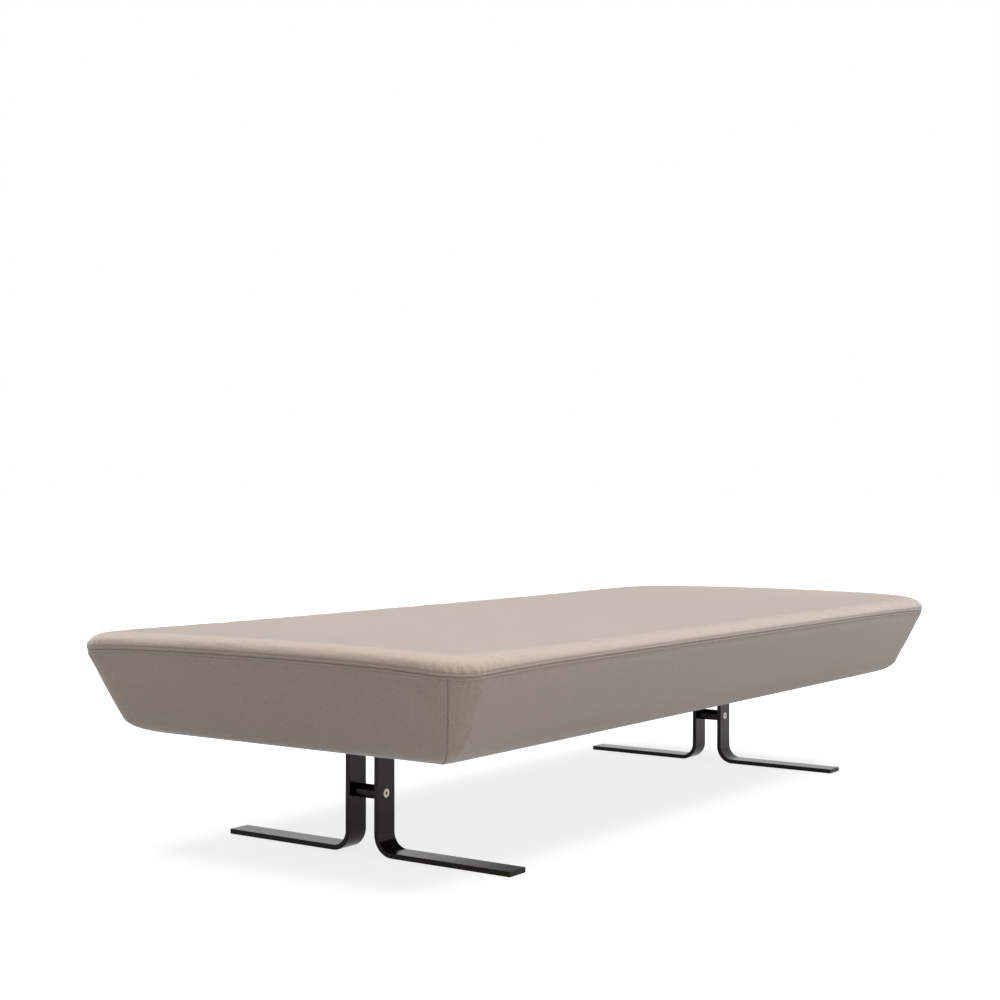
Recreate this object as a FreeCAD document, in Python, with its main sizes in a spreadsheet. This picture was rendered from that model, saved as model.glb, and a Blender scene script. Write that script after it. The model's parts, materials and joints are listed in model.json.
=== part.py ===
import FreeCAD, Part
import Sketcher
import math
import os

# Backless divan: a long upholstered slab on two pairs of bent flat steel bars.
# Millimetres. The long side lies along X, the short ends look along X, Z is up.
# The origin is on the floor under the middle of the divan.
# Left and right are the ends at -X and +X, front and rear the sides at -Y and +Y.

doc = FreeCAD.newDocument("divan")

# Driving sizes

SIZES = (
    # the upholstered body, measured over the cover
    ("body_length", 2044, "over the seam, end to end"),
    ("body_width", 911, "over the seam, side to side"),
    ("underside_height", 223, "floor to the flat underside of the cover"),
    ("seam_height", 390, "floor to the seam round the top panel"),
    ("crown_height", 25, "rise of the top panel above its seam"),
    ("shoulder_run", 63, "width over which the top panel rises"),
    ("shoulder_fullness", 3.1, "power of the shoulder's curve, 2 is an ellipse"),
    ("side_inset", 62, "how far the sides draw in down to the turn-under"),
    ("side_bulge", 2.3, "fullness of the sides between seam and turn-under"),
    ("turn_height", 42, "height of the rounded turn-under"),
    ("turn_run", 58, "width of the rounded turn-under"),
    ("seam_corner_radius", 70, "plan radius of the corners at the seam"),
    ("underside_corner_radius", 4, "plan radius of the corners at the underside"),
    ("long_bow", 2.8, "plan bow of the long sides"),
    ("end_bow", 3.8, "plan bow of the ends"),
    ("groove_depth", 1.5, "how far the seam pulls the cover in"),
    ("groove_half_width", 4, "half the width of the pulled-in line"),
    ("corner_seam_angle", 34, "plan angle of a corner seam from the end's normal"),
    # the cover and what is stapled under it
    ("cover_thickness", 2, "wool cloth with its backing"),
    ("soft_gap", 0.3, "room between two soft pieces"),
    ("hem_width", 30, "cover turned flat under the rails"),
    ("lining_thickness", 0.8, "dust lining under the frame"),
    ("lining_overlap", 22, "lining lapped over the hem"),
    ("lining_cutout_gap", 1.5, "room between the lining and a leg plate"),
    # foam
    ("side_foam", 28, "foam between the frame and the cover, level"),
    # wooden frame
    ("frame_depth", 95, "height of the rails"),
    ("rail_thickness", 38, "rails, square to their slope"),
    ("rail_arris", 12, "corner taken off where the cover turns under"),
    ("bearer_thickness", 32, "cross bearers, flat boards"),
    ("leg_bearer_width", 150, "bearers that carry the leg plates"),
    ("centre_bearer_width", 80, "bearer at mid length"),
    ("corner_block_leg", 95, "legs of the glued corner blocks at their foot"),
    ("corner_block_room", 2, "corner blocks to the bearers' level and to the webbing"),
    # screws that hold the bearers
    ("frame_screw_diameter", 6, "wood screw"),
    ("frame_screw_length", 80, "wood screw"),
    ("frame_screw_head", 11.5, "wood screw head diameter"),
    ("frame_screw_head_depth", 4, "wood screw head height"),
    ("frame_screw_tip", 0.6, "radius of a wood screw's point"),
    ("frame_screw_seat", 18, "wood left under a screw head"),
    ("frame_screw_edge", 25, "screw to the edge of its bearer"),
    # webbing
    ("webbing_width", 60, "elastic webbing"),
    ("webbing_thickness", 1.5, "elastic webbing"),
    ("webbing_lap", 26, "webbing laid on a rail"),
    ("cross_webbing_count", 13, "straps across the frame"),
    ("long_webbing_count", 4, "straps along the frame"),
    # legs
    ("leg_inset", 334, "end of the body to the middle of a leg pair"),
    ("foot_span", 680, "foot tip to foot tip across a leg pair"),
    ("bar_width", 50, "flat bar"),
    ("bar_thickness", 10, "flat bar"),
    ("bar_gap", 60, "between the upright bars of a pair"),
    ("bend_radius", 31, "inside radius of the bend"),
    ("bar_edge", 0.8, "rounding of the bar's long edges"),
    ("rod_diameter", 27, "spacer rod between the bars"),
    ("rod_height", 116, "floor to the rod's axis"),
    ("rod_chamfer", 1, "chamfer of the rod's ends"),
    # leg screws
    ("leg_screw_diameter", 8, "countersunk machine screw"),
    ("leg_screw_head", 17.5, "countersunk machine screw head"),
    ("leg_screw_length", 30, "countersunk machine screw, over the head"),
    ("leg_screw_run_out", 2, "tapped hole past the screw's point"),
    ("leg_screw_socket", 6.9, "socket across its corners"),
    ("leg_screw_socket_depth", 3.5, "socket depth"),
    ("screw_play", 0.4, "radial play of a screw in a plain hole"),
    ("thread_play", 0.05, "radial play of a screw in its thread"),
    # leg plates
    ("plate_length", 240, "across the divan"),
    ("plate_width", 120, "along the divan"),
    ("plate_thickness", 8, "steel plate"),
    ("plate_corner", 12, "plan radius of the plate's corners"),
    ("bolt_spacing_across", 200, "bolt to bolt across the divan"),
    ("bolt_spacing_along", 84, "bolt to bolt along the divan"),
    ("bolt_diameter", 8, "plate bolt"),
    ("bolt_head", 14, "button head diameter"),
    ("bolt_head_height", 4.4, "button head height"),
    ("bolt_head_round", 3.3, "radius of the button head's rim"),
    ("bolt_socket", 5.7, "socket across its corners"),
    ("bolt_socket_depth", 2.6, "socket depth"),
    ("nut_barrel", 10, "tee nut barrel diameter"),
    ("nut_barrel_length", 11, "tee nut barrel"),
    ("nut_flange", 22, "tee nut flange diameter"),
    ("nut_flange_thickness", 1.5, "tee nut flange"),
    # staples under the frame
    ("staple_crown", 10, "staple crown"),
    ("staple_wire", 1.2, "staple wire"),
    ("staple_leg", 8, "staple legs below the crown"),
    ("staple_pitch", 90, "staple to staple"),
    ("staple_edge", 10, "staple to the edge of the lining"),
)

sheet = doc.addObject("Spreadsheet::Sheet", "Sizes")
for row, (alias, number, note) in enumerate(SIZES, start=1):
    sheet.set("A%d" % row, alias)
    sheet.set("B%d" % row, str(number))
    sheet.set("C%d" % row, note)
    sheet.setAlias("B%d" % row, alias)
doc.recompute()


def size(name):
    """The value that the sheet holds under this name."""
    return float(getattr(sheet, name))


def vec(x, y, z):
    return FreeCAD.Vector(x, y, z)


NEAR = 0.01
CLEAR_OF_FACE = 1
MITRE = 45
UP = vec(0, 0, 1)
ALONG = vec(1, 0, 0)
ACROSS = vec(0, 1, 0)
ENDS = {"left": -1, "right": 1}
SIDES = {"front": -1, "rear": 1}
CORNERS = ((-1, -1), (1, -1), (1, 1), (-1, 1))
parts = []


def keep(obj):
    """Marks a document object as a sub-part to be written out."""
    parts.append(obj)
    return obj


def shaped(label, shape):
    """A sub-part whose shape is worked out here, placed after it is set."""
    obj = doc.addObject("Part::Feature", label)
    obj.Label = label
    obj.Shape = shape
    obj.Placement = FreeCAD.Placement()
    return keep(obj)


def repeated(label, source, placements):
    """One sub-part that holds a copy of a fastener at each placement."""
    copies = []
    for placement in placements:
        copy = source.Shape.copy()
        copy.Placement = placement.multiply(copy.Placement)
        copies.append(copy)
    return shaped(label, Part.makeCompound(copies))


def turned(position, axis=UP, angle=0):
    return FreeCAD.Placement(position, FreeCAD.Rotation(axis, angle))


# Simple solids bound to the sheet

def primitive(kind, name, **expressions):
    obj = doc.addObject("Part::" + kind, name)
    for prop, expression in expressions.items():
        obj.setExpression(prop, expression)
    return obj


def joined(kind, name, base, tool):
    obj = doc.addObject("Part::" + kind, name)
    obj.Base = base
    obj.Tool = tool
    return obj


# Sketched bodies bound to the sheet

def new_body(label):
    body = doc.addObject("PartDesign::Body", label)
    body.Label = label
    return body


def sketch_on(body, name, role):
    """A sketch on one of the body's own origin planes."""
    plane = [f for f in body.Origin.OriginFeatures if f.Role == role][0]
    sketch = body.newObject("Sketcher::SketchObject", name)
    sketch.AttachmentSupport = [(plane, "")]
    sketch.MapMode = "FlatFace"
    return sketch


def bind(sketch, constraint, expression):
    index = sketch.addConstraint(constraint)
    sketch.setExpression("Constraints[%d]" % index, expression)


def draw_polygon(sketch, corners):
    """Closed lines through corners given as pairs of expressions from the sketch's origin."""
    points = []
    for x, y in corners:
        points.append(vec(float(sketch.evalExpression(x)), float(sketch.evalExpression(y)), 0))
    lines = []
    for i, start in enumerate(points):
        end = points[(i + 1) % len(points)]
        lines.append(sketch.addGeometry(Part.LineSegment(start, end), False))
    for i, line in enumerate(lines):
        following = lines[(i + 1) % len(lines)]
        sketch.addConstraint(Sketcher.Constraint("Coincident", line, 2, following, 1))
    for line, (x, y), point in zip(lines, corners, points):
        bind(sketch, Sketcher.Constraint("DistanceX", -1, 1, line, 1, point.x), x)
        bind(sketch, Sketcher.Constraint("DistanceY", -1, 1, line, 1, point.y), y)


def draw_circle(sketch, x, y, radius):
    """A circle whose centre and radius are given as expressions."""
    centre = vec(float(sketch.evalExpression(x)), float(sketch.evalExpression(y)), 0)
    r = float(sketch.evalExpression(radius))
    circle = sketch.addGeometry(Part.Circle(centre, UP, r), False)
    bind(sketch, Sketcher.Constraint("DistanceX", -1, 1, circle, 3, centre.x), x)
    bind(sketch, Sketcher.Constraint("DistanceY", -1, 1, circle, 3, centre.y), y)
    bind(sketch, Sketcher.Constraint("Radius", circle, r), radius)


def pad(body, sketch, length, both_ways=False):
    feature = body.newObject("PartDesign::Pad", sketch.Name + "_pad")
    feature.Profile = sketch
    feature.setExpression("Length", length)
    if both_ways:
        feature.SideType = "Symmetric"
    doc.recompute()
    return feature


def edges_at(feature, direction, test):
    """Names of the feature's straight edges along a direction whose middle passes a test."""
    names = []
    for number, edge in enumerate(feature.Shape.Edges, start=1):
        if edge.Curve.TypeId != "Part::GeomLine":
            continue
        along = edge.tangentAt(edge.FirstParameter)
        if along.cross(direction).Length > NEAR:
            continue
        if test(edge.CenterOfMass):
            names.append("Edge%d" % number)
    return names


def fillet(body, feature, edges, radius):
    rounding = body.newObject("PartDesign::Fillet", body.Name + "_round")
    rounding.Base = (feature, edges)
    rounding.setExpression("Radius", radius)
    doc.recompute()
    return rounding


# Heights and slopes that several pieces share

half_length = size("body_length") / 2
half_width = size("body_width") / 2
seam_z = size("seam_height")
under_z = size("underside_height")
turn_z = under_z + size("turn_height")
slope = size("side_inset") / (seam_z - turn_z)
inner_offset = size("cover_thickness") + size("soft_gap")
frame_bottom = under_z + inner_offset
frame_top = frame_bottom + size("frame_depth")
plate_bottom = under_z - size("plate_thickness")


# The form of the upholstered body

def outline(inset, height, radius):
    """The body's plan at one height: four bowed sides joined by corner arcs."""
    a = half_length - inset
    b = half_width - inset
    r = max(radius, size("underside_corner_radius"))
    d = r * (1 - math.sqrt(0.5))
    edges = []
    for sx, sy in ((1, 1), (-1, 1), (-1, -1), (1, -1)):
        on_end = vec(sx * a, sy * (b - r), height)
        on_side = vec(sx * (a - r), sy * b, height)
        middle = vec(sx * (a - d), sy * (b - d), height)
        if sx * sy > 0:
            corner = (on_end, on_side)
        else:
            corner = (on_side, on_end)
        edges.append(Part.Arc(corner[0], middle, corner[1]).toShape())
        if sx * sy > 0:
            far = vec(-sx * (a - r), sy * b, height)
            bowed = vec(0, sy * (b + size("long_bow")), height)
            edges.append(Part.Arc(on_side, bowed, far).toShape())
        else:
            far = vec(sx * a, -sy * (b - r), height)
            bowed = vec(sx * (a + size("end_bow")), 0, height)
            edges.append(Part.Arc(on_end, bowed, far).toShape())
    return Part.Wire(edges)


def turn_under(offset, steps=5):
    """The rounded turn-under, as an elliptic arc tangent to the side and to the underside."""
    sections = []
    corner_inset = size("side_inset") + slope * (turn_z - under_z)
    start_inset = size("side_inset") + size("turn_run")
    for step in range(steps):
        angle = math.radians(90 * step / steps)
        flat_share = 1 - math.cos(angle)
        side_share = 1 - math.sin(angle)
        inset = corner_inset + (start_inset - corner_inset) * side_share
        inset = inset + (size("side_inset") - corner_inset) * flat_share
        height = under_z + offset + (turn_z - under_z - offset) * flat_share
        sections.append((inset + offset, height))
    return sections


def side(offset, steps=4):
    """The drawn-in side from the turn-under up to the pulled-in line at the seam."""
    sections = []
    top = seam_z - size("groove_half_width")
    for step in range(steps + 1):
        share = step / steps
        height = turn_z + (top - turn_z) * share
        inset = slope * (seam_z - height) - size("side_bulge") * 4 * share * (1 - share)
        sections.append((inset + offset, height))
    return sections


def crown(offset, steps=7):
    """The top panel's shoulder, a quarter of a superellipse, from the seam to the flat top."""
    sections = [(size("groove_depth") + offset, seam_z)]
    power = size("shoulder_fullness")
    rise = size("crown_height") - offset
    first_height = size("groove_half_width")
    lowest = math.asin(min(first_height / rise, 1) ** (power / 2))
    for step in range(steps + 1):
        angle = lowest + (math.pi / 2 - lowest) * step / steps
        height = seam_z + rise * math.sin(angle) ** (2 / power)
        run = size("shoulder_run") * (1 - math.cos(angle) ** (2 / power))
        sections.append((run + offset, height))
    return sections


def lofted(sections, below_seam):
    """A solid through the body's plan at each inset and height."""
    wires = []
    for inset, height in sections:
        if below_seam:
            radius = size("seam_corner_radius") - inset
        else:
            radius = size("seam_corner_radius") - inset / 2
        wires.append(outline(inset, height, radius))
    return Part.makeLoft(wires, True, True)


def lower_form(offset):
    """The body up to its seam, drawn in by an offset all round."""
    seam = [(size("groove_depth") + offset, seam_z)]
    return lofted(turn_under(offset) + side(offset) + seam, True)


def upper_form(offset, gap=0):
    """The body above its seam, drawn in by an offset all round and lifted off the seam by a gap."""
    sections = crown(offset)
    inset = sections[0][0]
    return lofted([(inset, seam_z + gap)] + sections[1:], False)


def between(first, last):
    """A solid with flat faces between two polygons that have as many corners."""
    outlines = [first, last]
    for i, corner in enumerate(first):
        j = (i + 1) % len(first)
        outlines.append([corner, first[j], last[j], last[i]])
    faces = [Part.Face(Part.makePolygon(corners + corners[:1])) for corners in outlines]
    shell = Part.makeShell(faces)
    shell.sewShape()
    solid = Part.makeSolid(shell)
    if solid.Volume < 0:
        solid.reverse()
    return solid


def block(x0, x1, y0, y1, z0, z1):
    return Part.makeBox(x1 - x0, y1 - y0, z1 - z0, vec(x0, y0, z0))


BEYOND = half_length + half_width


def end_region(end, corner_inset, angle):
    """The space of one end: bounded by a plane out of each corner and a mitre inwards."""
    s = ENDS[end]
    x = s * (half_length - corner_inset)
    y = half_width - corner_inset
    reach = math.tan(math.radians(angle)) * BEYOND
    inward = min(y, half_length - corner_inset)
    plan = [
        vec(x + s * BEYOND, -y - reach, 0),
        vec(x, -y, 0),
        vec(x - s * inward, -y + inward, 0),
        vec(x - s * inward, y - inward, 0),
        vec(x, y, 0),
        vec(x + s * BEYOND, y + reach, 0),
    ]
    if plan[2].isEqual(plan[3], NEAR):
        plan.pop(3)
    wire = Part.makePolygon(plan + [plan[0]])
    return Part.Face(wire).extrude(UP * (seam_z + BEYOND))


def split_round(ring, corner_inset, angle):
    """A ring cut at its corners into its two ends and its two long sides."""
    pieces = {}
    rest = ring
    for end in ENDS:
        region = end_region(end, corner_inset, angle)
        pieces[end] = rest.common(region)
        rest = rest.cut(region)
    for name, s in SIDES.items():
        half = block(-BEYOND, BEYOND, min(0, s * BEYOND), max(0, s * BEYOND), 0, seam_z + BEYOND)
        pieces[name] = rest.common(half)
    return pieces


def clean(shape):
    """The only solid of a cut."""
    return shape.Solids[0] if len(shape.Solids) == 1 else shape


def bored(shape, holes):
    """The shape less each hole that reaches it, one hole after another."""
    for hole in holes:
        if shape.BoundBox.intersect(hole.BoundBox):
            shape = shape.cut(hole)
    return clean(shape)


# Legs: bent flat bars, two to a pair, standing back to back

def leg_place(end):
    """Where a leg pair stands along the divan, as an expression."""
    return "%d * (Sizes.body_length / 2 - Sizes.leg_inset)" % ENDS[end]


leg_x = half_length - size("leg_inset")

# Half section of a screw hole about the rod's axis, cut a little past both faces of the bar
PAST = " %d" % CLEAR_OF_FACE
HOLE_PROFILE = (
    ("-Sizes.bar_gap / 2 +" + PAST, "0"),
    ("-Sizes.bar_gap / 2 +" + PAST, "Sizes.leg_screw_diameter / 2 + Sizes.screw_play"),
    ("-Sizes.bar_gap / 2 - Sizes.bar_thickness + Sizes.leg_screw_head / 2"
     " - Sizes.leg_screw_diameter / 2 - Sizes.screw_play",
     "Sizes.leg_screw_diameter / 2 + Sizes.screw_play"),
    ("-Sizes.bar_gap / 2 - Sizes.bar_thickness", "Sizes.leg_screw_head / 2"),
    ("-Sizes.bar_gap / 2 - Sizes.bar_thickness -" + PAST, "Sizes.leg_screw_head / 2"),
    ("-Sizes.bar_gap / 2 - Sizes.bar_thickness -" + PAST, "0"),
)


def leg_bar(end, side_name):
    """A flat bar that stands upright and is bent outwards into its foot."""
    body = new_body("leg_bar_%s_%s" % (end, side_name))
    inner = "-Sizes.bar_gap / 2"
    outer = "-Sizes.bar_gap / 2 - Sizes.bar_thickness"
    tip = "-Sizes.foot_span / 2"
    top = "Sizes.underside_height - Sizes.plate_thickness"
    profile = sketch_on(body, body.Name + "_profile", "YZ_Plane")
    draw_polygon(profile, (
        (tip, "0"),
        (inner, "0"),
        (inner, top),
        (outer, top),
        (outer, "Sizes.bar_thickness"),
        (tip, "Sizes.bar_thickness"),
    ))
    flat = pad(body, profile, "Sizes.bar_width", True)
    t = size("bar_thickness")
    y_in = -size("bar_gap") / 2
    inside = edges_at(flat, ALONG, lambda m: abs(m.y - y_in + t) < NEAR and abs(m.z - t) < NEAR)
    bent = fillet(body, flat, inside, "Sizes.bend_radius")
    outside = edges_at(bent, ALONG, lambda m: abs(m.y - y_in) < NEAR and abs(m.z) < NEAR)
    bent = fillet(body, bent, outside, "Sizes.bend_radius + Sizes.bar_thickness")
    before = bent.Shape.Volume
    hole = sketch_on(body, body.Name + "_hole", "YZ_Plane")
    hole.setExpression("AttachmentOffset.Base.y", "Sizes.rod_height")
    doc.recompute()
    draw_polygon(hole, HOLE_PROFILE)
    groove = body.newObject("PartDesign::Groove", body.Name + "_countersink")
    groove.Profile = hole
    groove.ReferenceAxis = (hole, ["H_Axis"])
    groove.Angle = 360
    doc.recompute()
    if groove.Shape.Volume >= before:
        raise RuntimeError("the screw hole of a leg bar cuts nothing")
    half = size("bar_width") / 2
    bend_zone = size("bend_radius") + t
    long_edges = []
    for number, edge in enumerate(groove.Shape.Edges, start=1):
        m = edge.CenterOfMass
        on_face = abs(abs(m.x) - half) < NEAR
        on_top = abs(m.z - plate_bottom) < NEAR
        if on_face and not on_top and edge.Length > bend_zone / 2:
            long_edges.append("Edge%d" % number)
    fillet(body, groove, long_edges, "Sizes.bar_edge")
    body.Placement = turned(vec(0, 0, 0), UP, 0 if side_name == "front" else 180)
    body.setExpression("Placement.Base.x", leg_place(end))
    return keep(body)


for end_name in ENDS:
    for side_label in SIDES:
        leg_bar(end_name, side_label)


# Spacer rods: turned steel, tapped at both ends

def spacer_rod(end):
    """A round rod that holds the two bars of a pair apart, with a tapped hole in each end."""
    body = new_body("spacer_rod_%s" % end)
    profile = sketch_on(body, body.Name + "_profile", "YZ_Plane")
    profile.setExpression("AttachmentOffset.Base.y", "Sizes.rod_height")
    doc.recompute()
    long_half = "Sizes.bar_gap / 2"
    bore = "Sizes.leg_screw_diameter / 2 + Sizes.thread_play"
    depth = ("(Sizes.bar_gap / 2 + Sizes.bar_thickness - Sizes.leg_screw_length"
             " - Sizes.leg_screw_run_out)")
    radius = "Sizes.rod_diameter / 2"
    draw_polygon(profile, (
        ("-" + depth, "0"),
        ("-" + depth, bore),
        ("-" + long_half, bore),
        ("-" + long_half, radius + " - Sizes.rod_chamfer"),
        ("-" + long_half + " + Sizes.rod_chamfer", radius),
        (long_half + " - Sizes.rod_chamfer", radius),
        (long_half, radius + " - Sizes.rod_chamfer"),
        (long_half, bore),
        (depth, bore),
        (depth, "0"),
    ))
    turn = body.newObject("PartDesign::Revolution", body.Name + "_turned")
    turn.Profile = profile
    turn.ReferenceAxis = (profile, ["H_Axis"])
    turn.Angle = 360
    body.setExpression("Placement.Base.x", leg_place(end))
    doc.recompute()
    return keep(body)


for end_name in ENDS:
    spacer_rod(end_name)


# Countersunk screws through the bars into the rods

def countersunk_screw():
    """A machine screw with a flat conical head and a six-sided socket, head up at height zero."""
    head_depth = "(Sizes.leg_screw_head / 2 - Sizes.leg_screw_diameter / 2)"
    shank = primitive("Cylinder", "leg_screw_shank", Radius="Sizes.leg_screw_diameter / 2",
                      Height="Sizes.leg_screw_length")
    shank.setExpression("Placement.Base.z", "-Sizes.leg_screw_length")
    head = primitive("Cone", "leg_screw_cone", Radius1="Sizes.leg_screw_diameter / 2",
                     Radius2="Sizes.leg_screw_head / 2 - Sizes.screw_play", Height=head_depth)
    head.setExpression("Placement.Base.z", "-" + head_depth)
    socket = primitive("Prism", "leg_screw_socket_prism", Circumradius="Sizes.leg_screw_socket / 2",
                       Height="Sizes.leg_screw_socket_depth")
    socket.Polygon = 6
    socket.setExpression("Placement.Base.z", "-Sizes.leg_screw_socket_depth")
    solid = joined("Fuse", "leg_screw_solid", shank, head)
    screw = joined("Cut", "leg_screw", solid, socket)
    doc.recompute()
    return screw


leg_screw = countersunk_screw()
bar_face = size("bar_gap") / 2 + size("bar_thickness")
screw_places = []
for end_sign in ENDS.values():
    for side_sign in SIDES.values():
        place = vec(end_sign * leg_x, side_sign * bar_face, size("rod_height"))
        screw_places.append(turned(place, ALONG, -90 * side_sign))
repeated("spacer_screws", leg_screw, screw_places)


# Leg plates: the bars are welded under them and they bolt to the bearers

def leg_plate(end):
    """A steel plate with rounded corners and four bolt holes."""
    body = new_body("leg_plate_%s" % end)
    plan = sketch_on(body, body.Name + "_plan", "XY_Plane")
    draw_polygon(plan, (
        ("-Sizes.plate_width / 2", "-Sizes.plate_length / 2"),
        ("Sizes.plate_width / 2", "-Sizes.plate_length / 2"),
        ("Sizes.plate_width / 2", "Sizes.plate_length / 2"),
        ("-Sizes.plate_width / 2", "Sizes.plate_length / 2"),
    ))
    for sx, sy in CORNERS:
        draw_circle(plan, "%d * Sizes.bolt_spacing_along / 2" % sx,
                    "%d * Sizes.bolt_spacing_across / 2" % sy,
                    "Sizes.bolt_diameter / 2 + Sizes.screw_play")
    plate = pad(body, plan, "Sizes.plate_thickness")
    fillet(body, plate, edges_at(plate, UP, lambda m: True), "Sizes.plate_corner")
    body.setExpression("Placement.Base.x", leg_place(end))
    body.setExpression("Placement.Base.z", "Sizes.underside_height - Sizes.plate_thickness")
    doc.recompute()
    return keep(body)


for end_name in ENDS:
    leg_plate(end_name)


# Plate bolts and the tee nuts that they pull on

def button_bolt():
    """A bolt with a low round head below height zero and its shank above it."""
    shank = primitive("Cylinder", "bolt_shank", Radius="Sizes.bolt_diameter / 2",
                      Height="Sizes.plate_thickness + Sizes.bearer_thickness")
    head = primitive("Cylinder", "bolt_head_round", Radius="Sizes.bolt_head / 2",
                     Height="Sizes.bolt_head_height")
    head.setExpression("Placement.Base.z", "-Sizes.bolt_head_height")
    crowned = doc.addObject("Part::Fillet", "bolt_head_crowned")
    crowned.Base = head
    doc.recompute()
    rim = [i for i, e in enumerate(head.Shape.Edges, start=1)
           if abs(e.CenterOfMass.z + size("bolt_head_height")) < NEAR
           and e.Curve.TypeId == "Part::GeomCircle"]
    rim_radius = size("bolt_head_round")
    crowned.Edges = [(i, rim_radius, rim_radius) for i in rim]
    socket = primitive("Prism", "bolt_socket_prism", Circumradius="Sizes.bolt_socket / 2",
                       Height="Sizes.bolt_socket_depth")
    socket.Polygon = 6
    socket.setExpression("Placement.Base.z", "-Sizes.bolt_head_height")
    bolt = joined("Cut", "plate_bolt", joined("Fuse", "bolt_solid", shank, crowned), socket)
    doc.recompute()
    return bolt


def tee_nut():
    """A nut with a flange on the bearer's top and a barrel down its hole, flange at height zero."""
    flange = primitive("Cylinder", "nut_flange_disc", Radius="Sizes.nut_flange / 2",
                       Height="Sizes.nut_flange_thickness")
    barrel = primitive("Cylinder", "nut_barrel_tube", Radius="Sizes.nut_barrel / 2",
                       Height="Sizes.nut_barrel_length")
    barrel.setExpression("Placement.Base.z", "-Sizes.nut_barrel_length")
    bore = primitive("Cylinder", "nut_bore", Radius="Sizes.bolt_diameter / 2 + Sizes.thread_play",
                     Height="Sizes.nut_barrel_length + Sizes.nut_flange_thickness")
    bore.setExpression("Placement.Base.z", "-Sizes.nut_barrel_length")
    nut = joined("Cut", "tee_nut", joined("Fuse", "nut_solid", flange, barrel), bore)
    doc.recompute()
    return nut


plate_bolt = button_bolt()
plate_nut = tee_nut()
bolt_places = []
nut_places = []
for end_sign in ENDS.values():
    for sx, sy in CORNERS:
        x = end_sign * leg_x + sx * size("bolt_spacing_along") / 2
        y = sy * size("bolt_spacing_across") / 2
        bolt_places.append(turned(vec(x, y, plate_bottom)))
        nut_places.append(turned(vec(x, y, under_z + size("bearer_thickness"))))
repeated("plate_bolts", plate_bolt, bolt_places)
repeated("plate_nuts", plate_nut, nut_places)


# Wooden frame: four sloping rails mitred at the corners

def face_inset(height):
    """Inset of the rails' outer face from the seam's outline at a height."""
    return slope * (seam_z - height) + size("side_foam")


rail_level = size("rail_thickness") * math.sqrt(1 + slope * slope)


def rail_section(top):
    """Corners of a rail's section as pairs of inset and height, the outer bottom arris taken off."""
    arris = size("rail_arris")
    return (
        (face_inset(frame_bottom) + arris, frame_bottom),
        (face_inset(frame_bottom) + rail_level, frame_bottom),
        (face_inset(top) + rail_level, top),
        (face_inset(top), top),
        (face_inset(frame_bottom + arris), frame_bottom + arris),
    )


def mitre(section, sx, sy):
    """The section's corners on the upright mitre plane of one corner of the frame."""
    return [vec(sx * (half_length - inset), sy * (half_width - inset), height)
            for inset, height in section]


def rail(top, corners):
    """A rail between the mitre planes of two corners."""
    section = rail_section(top)
    first, last = [mitre(section, sx, sy) for sx, sy in corners]
    return between(first, last)


# Each bearer's place along the divan and the name of its width
BEARERS = {
    "leg_bearer_left": (leg_place("left"), "leg_bearer_width"),
    "centre_bearer": ("0", "centre_bearer_width"),
    "leg_bearer_right": (leg_place("right"), "leg_bearer_width"),
}


def bearer_screw_places():
    """Where a screw goes through a long rail into a bearer's end: its X, its side and its height."""
    places = []
    height = (frame_bottom + under_z + size("bearer_thickness")) / 2
    for place, width in BEARERS.values():
        middle = float(sheet.evalExpression(place))
        reach = size(width) / 2 - size("frame_screw_edge")
        for sx in (-1, 1):
            for sy in SIDES.values():
                places.append((middle + sx * reach, sy, height))
    return places


def seat_y(height):
    """Distance from the middle to the seat of a frame screw's head, bored into the rail."""
    inner = half_width - face_inset(height) - rail_level
    return inner + size("frame_screw_seat")


def frame_screw_holes():
    holes = []
    for x, sy, height in bearer_screw_places():
        seat = seat_y(height)
        direction = ACROSS * sy
        start = vec(x, sy * (seat - size("frame_screw_length")), height)
        plain = size("frame_screw_diameter") / 2 + size("thread_play")
        wide = size("frame_screw_head") / 2 + size("screw_play")
        out_of_rail = 2 * rail_level
        bore = Part.makeCylinder(plain, size("frame_screw_length"), start, direction)
        seat_middle = vec(x, sy * seat, height)
        holes.append(bore.fuse(Part.makeCylinder(wide, out_of_rail, seat_middle, direction)))
    return holes


screw_holes = frame_screw_holes()


def staple_places():
    """Middle and direction of each staple, round the lapped edge of the lining."""
    inset = lining_inset() + size("staple_edge")
    places = []
    for axis, run, stand in (("x", half_length, half_width), ("y", half_width, half_length)):
        reach = run - inset - size("staple_pitch") / 2
        count = int(2 * reach // size("staple_pitch")) + 1
        for number in range(count):
            along = (number - (count - 1) / 2) * size("staple_pitch")
            for s in (-1, 1):
                if axis == "x":
                    places.append((vec(along, s * (stand - inset), 0), 0))
                else:
                    places.append((vec(s * (stand - inset), along, 0), 90))
    return places


def hem_inset():
    """Inset of the hem's free edge from the seam's outline."""
    return size("side_inset") + size("turn_run") + size("hem_width")


def lining_inset():
    """Inset of the lining's edge from the seam's outline."""
    return hem_inset() - size("lining_overlap")


lining_top = under_z - size("soft_gap")
lining_bottom = lining_top - size("lining_thickness")


def staple(play=0):
    """A square-wire staple, its crown under the lining; play widens it into its own holes."""
    wire = size("staple_wire")
    crown_half = size("staple_crown") / 2
    height = size("staple_leg")
    bar = block(-crown_half - play, crown_half + play, -wire / 2 - play, wire / 2 + play,
                lining_bottom - wire, lining_bottom)
    legs = []
    for s in (-1, 1):
        outer = s * (crown_half + play)
        inner = s * (crown_half - wire - play)
        legs.append(block(min(outer, inner), max(outer, inner), -wire / 2 - play, wire / 2 + play,
                          lining_bottom - wire, lining_bottom + height + play))
    return bar.multiFuse(legs).removeSplitter()


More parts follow.
